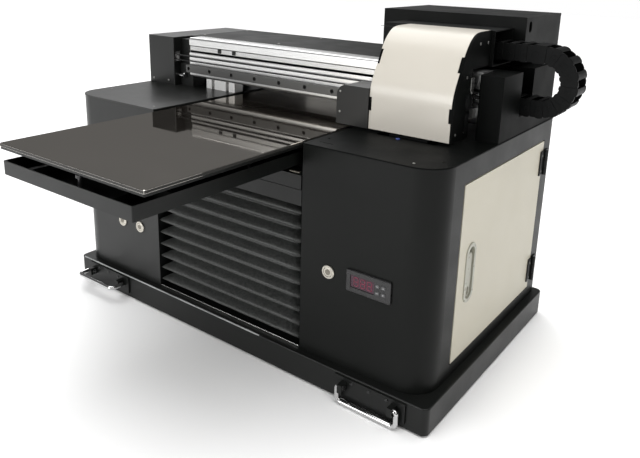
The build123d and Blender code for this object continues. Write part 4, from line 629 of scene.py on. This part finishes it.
# lens over the button's bore: ring groove and centre dimple ride on each button
for name, body, (bx, bz) in (("outer", "button_outer", (-273.0, 151.5)), ("inner", "button_inner", (-222.0, 151.5)), ("right", "button_right", (216.4, 195.4))):
    s = Soup()
    s.lathe((bx, -221.0, bz), (0, -1, 0), [(4.6, 0), (4.6, 0.22), (3.9, 0.26), (3.9, 0.05)], n=40)
    s.box(bx - 0.5, bx + 0.5, -221.25, -220.9, bz - 0.2, bz + 2.6)
    o = s.build("button_mark_" + name, button_face)
    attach(o, body)
for body, (kx, kz), kind in (("key_ul", (304.6, 201.2), 0), ("key_ur", (314.6, 201.2), 1), ("key_ll", (304.6, 190.6), 2), ("key_lr", (314.6, 190.6), 3)):
    s = Soup()
    if kind in (1, 3):
        d = 1.2 if kind == 1 else -1.2
        s.prism([(kx - 1.5, kz - d * 0.6), (kx + 1.5, kz - d * 0.6), (kx, kz + d)], "y", -223.75, -223.55)
    else:
        s.box(kx - 1.6, kx + 1.6, -223.75, -223.55, kz - 0.35, kz + 0.35)
    o = s.build("key_mark_" + body, legend)
    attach(o, body)

# ---------------------------------------------------------------- table details

# ground edge of the glass, a light line along its rim
s = Soup()
s.box(-159.3, 154.3, -504.05, -503.75, 380.3, 383.9)
s.box(-160.05, -159.75, -503.3, 95.3, 380.3, 383.9)
s.box(154.75, 155.05, -503.3, 95.3, 380.3, 383.9)
o = s.build("glass_rim", glass_edge, bevel=0.05)
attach(o, "table")

# painted highlight along the base tray's top front edge: a light grey strip standing in for the light caught by its
# rounded edge
s = Soup()
arc = [(-231.0 - 2.07 * math.cos(math.radians(t)), 44.3 + 2.07 * math.sin(math.radians(t))) for t in (12, 30, 48, 66, 84)]
inn = [(-231.0 - 1.6 * math.cos(math.radians(t)), 44.3 + 1.6 * math.sin(math.radians(t))) for t in (84, 66, 48, 30, 12)]
s.prism(arc + inn, "x", -390.5, 90.0)
o = s.build("base_edge", edge_painted_highlight)
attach(o, "chassis")

# blue tip of the wiper beside the capping station
s = Soup()
s.lathe((259.0, -108.0, 386.4), (0, 0, 1), [(3.4, 0), (3.4, 0.9), (3.0, 1.3), (1.0, 1.3)], n=24)
o = s.build("wiper_tip", blue)
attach(o, "chassis")

# ball carriers' end caps on the platform's blocks
s = Soup()
for bx, by in ((-108.0, -50.0), (102.0, -50.0), (-108.0, 10.0), (102.0, 10.0)):
    for d in (-1, 1):
        ya, yb = sorted((by + d * 22.5, by + d * 25.0))
        s.box(bx - 13.2, bx - 7.0, ya, yb, 334.3, 343.4)
        s.box(bx + 7.0, bx + 13.2, ya, yb, 334.3, 343.4)
o = s.build("block_caps", rubber, bevel=0.4)
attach(o, "lift")

# bright stop bar on the platform's front edge
s = Soup()
s.box(137, 157, -217.2, -213.0, 336.9, 338.5)
o = s.build("platform_stop", button_face, bevel=0.5)
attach(o, "lift")

# ---------------------------------------------------------------- floor, light, camera

s = Soup()
s.box(-9000, 9000, -9000, 9000, -40, 0)
floor = s.build("floor", surface("pale_floor", (0.98, 0.98, 0.98), 0.75, vary=0.01, nscale=0.5, spec=0.2))

world = bpy.data.worlds.new("studio")
bpy.context.scene.world = world
world.use_nodes = True
wt = world.node_tree
bg = wt.nodes["Background"]
# a white band along the horizon, a dim room above it, a little brighter at the left
tc = wt.nodes.new("ShaderNodeTexCoord")
sep = wt.nodes.new("ShaderNodeSeparateXYZ")
wt.links.new(tc.outputs["Generated"], sep.inputs[0])
band = wt.nodes.new("ShaderNodeMapRange")
band.interpolation_type = "SMOOTHSTEP"
band.inputs["From Min"].default_value = 0.045
band.inputs["From Max"].default_value = 0.14
band.inputs["To Min"].default_value = 1.0
band.inputs["To Max"].default_value = 0.0
wt.links.new(sep.outputs["Z"], band.inputs["Value"])
dot = wt.nodes.new("ShaderNodeVectorMath")
dot.operation = "DOT_PRODUCT"
dot.inputs[1].default_value = (-0.66, 0.75, 0.05)
wt.links.new(tc.outputs["Generated"], dot.inputs[0])
side = wt.nodes.new("ShaderNodeMapRange")
side.interpolation_type = "SMOOTHSTEP"
side.inputs["From Min"].default_value = -0.6
side.inputs["From Max"].default_value = 0.8
side.inputs["To Min"].default_value = 0.08
side.inputs["To Max"].default_value = 0.205
wt.links.new(dot.outputs["Value"], side.inputs["Value"])
top = wt.nodes.new("ShaderNodeMath")
top.operation = "MAXIMUM"
wt.links.new(band.outputs["Result"], top.inputs[0])
wt.links.new(side.outputs["Result"], top.inputs[1])
wt.links.new(top.outputs[0], bg.inputs["Strength"])
bg.inputs["Color"].default_value = (1.0, 1.0, 1.0, 1)


def area(name, loc, target, size, power, colour=(1, 1, 1)):
    ld = bpy.data.lights.new(name, "AREA")
    ld.shape = "RECTANGLE"
    ld.size, ld.size_y = size
    ld.energy = power
    ld.color = colour
    ob = bpy.data.objects.new(name, ld)
    bpy.context.scene.collection.objects.link(ob)
    ob.location = loc
    ob.rotation_euler = (Vector(target) - Vector(loc)).to_track_quat("-Z", "Y").to_euler()
    return ob


sd = bpy.data.lights.new("overhead_light", "SUN")
sd.energy = 3.3
sd.angle = math.radians(70)
so = bpy.data.objects.new("overhead_light", sd)
bpy.context.scene.collection.objects.link(so)
so.rotation_euler = (math.radians(-8), math.radians(-6), 0)
area("key_light", (-2.4, 1.9, 2.4), (0, 0, 0.3), (1.8, 1.4), 34)
area("fill_light", (2.6, -1.4, 2.3), (0.2, 0.0, 0.3), (1.4, 1.2), 24, (1.0, 0.985, 0.96))
area("front_light", (-0.7, -2.8, 0.95), (0.1, -0.1, 0.35), (1.6, 1.0), 42)

cam = bpy.data.cameras.new("camera")
cam_ob = bpy.data.objects.new("camera", cam)
bpy.context.scene.collection.objects.link(cam_ob)
right = Vector((0.79707, 0.60344, 0.02323))
down = Vector((0.18058, -0.20146, -0.96271))
fwd = Vector((-0.57625, 0.77154, -0.26955))
m = Matrix((right, -down, -fwd)).transposed().to_4x4()
m.translation = Vector((0.7406, -0.9643, 0.6395))
cam_ob.matrix_world = m
cam.sensor_width = 36.0
cam.lens = 37.43
cam.shift_x = 0.0095
cam.shift_y = -0.1238
bpy.context.scene.camera = cam_ob
bpy.context.scene.view_settings.view_transform = "Standard"

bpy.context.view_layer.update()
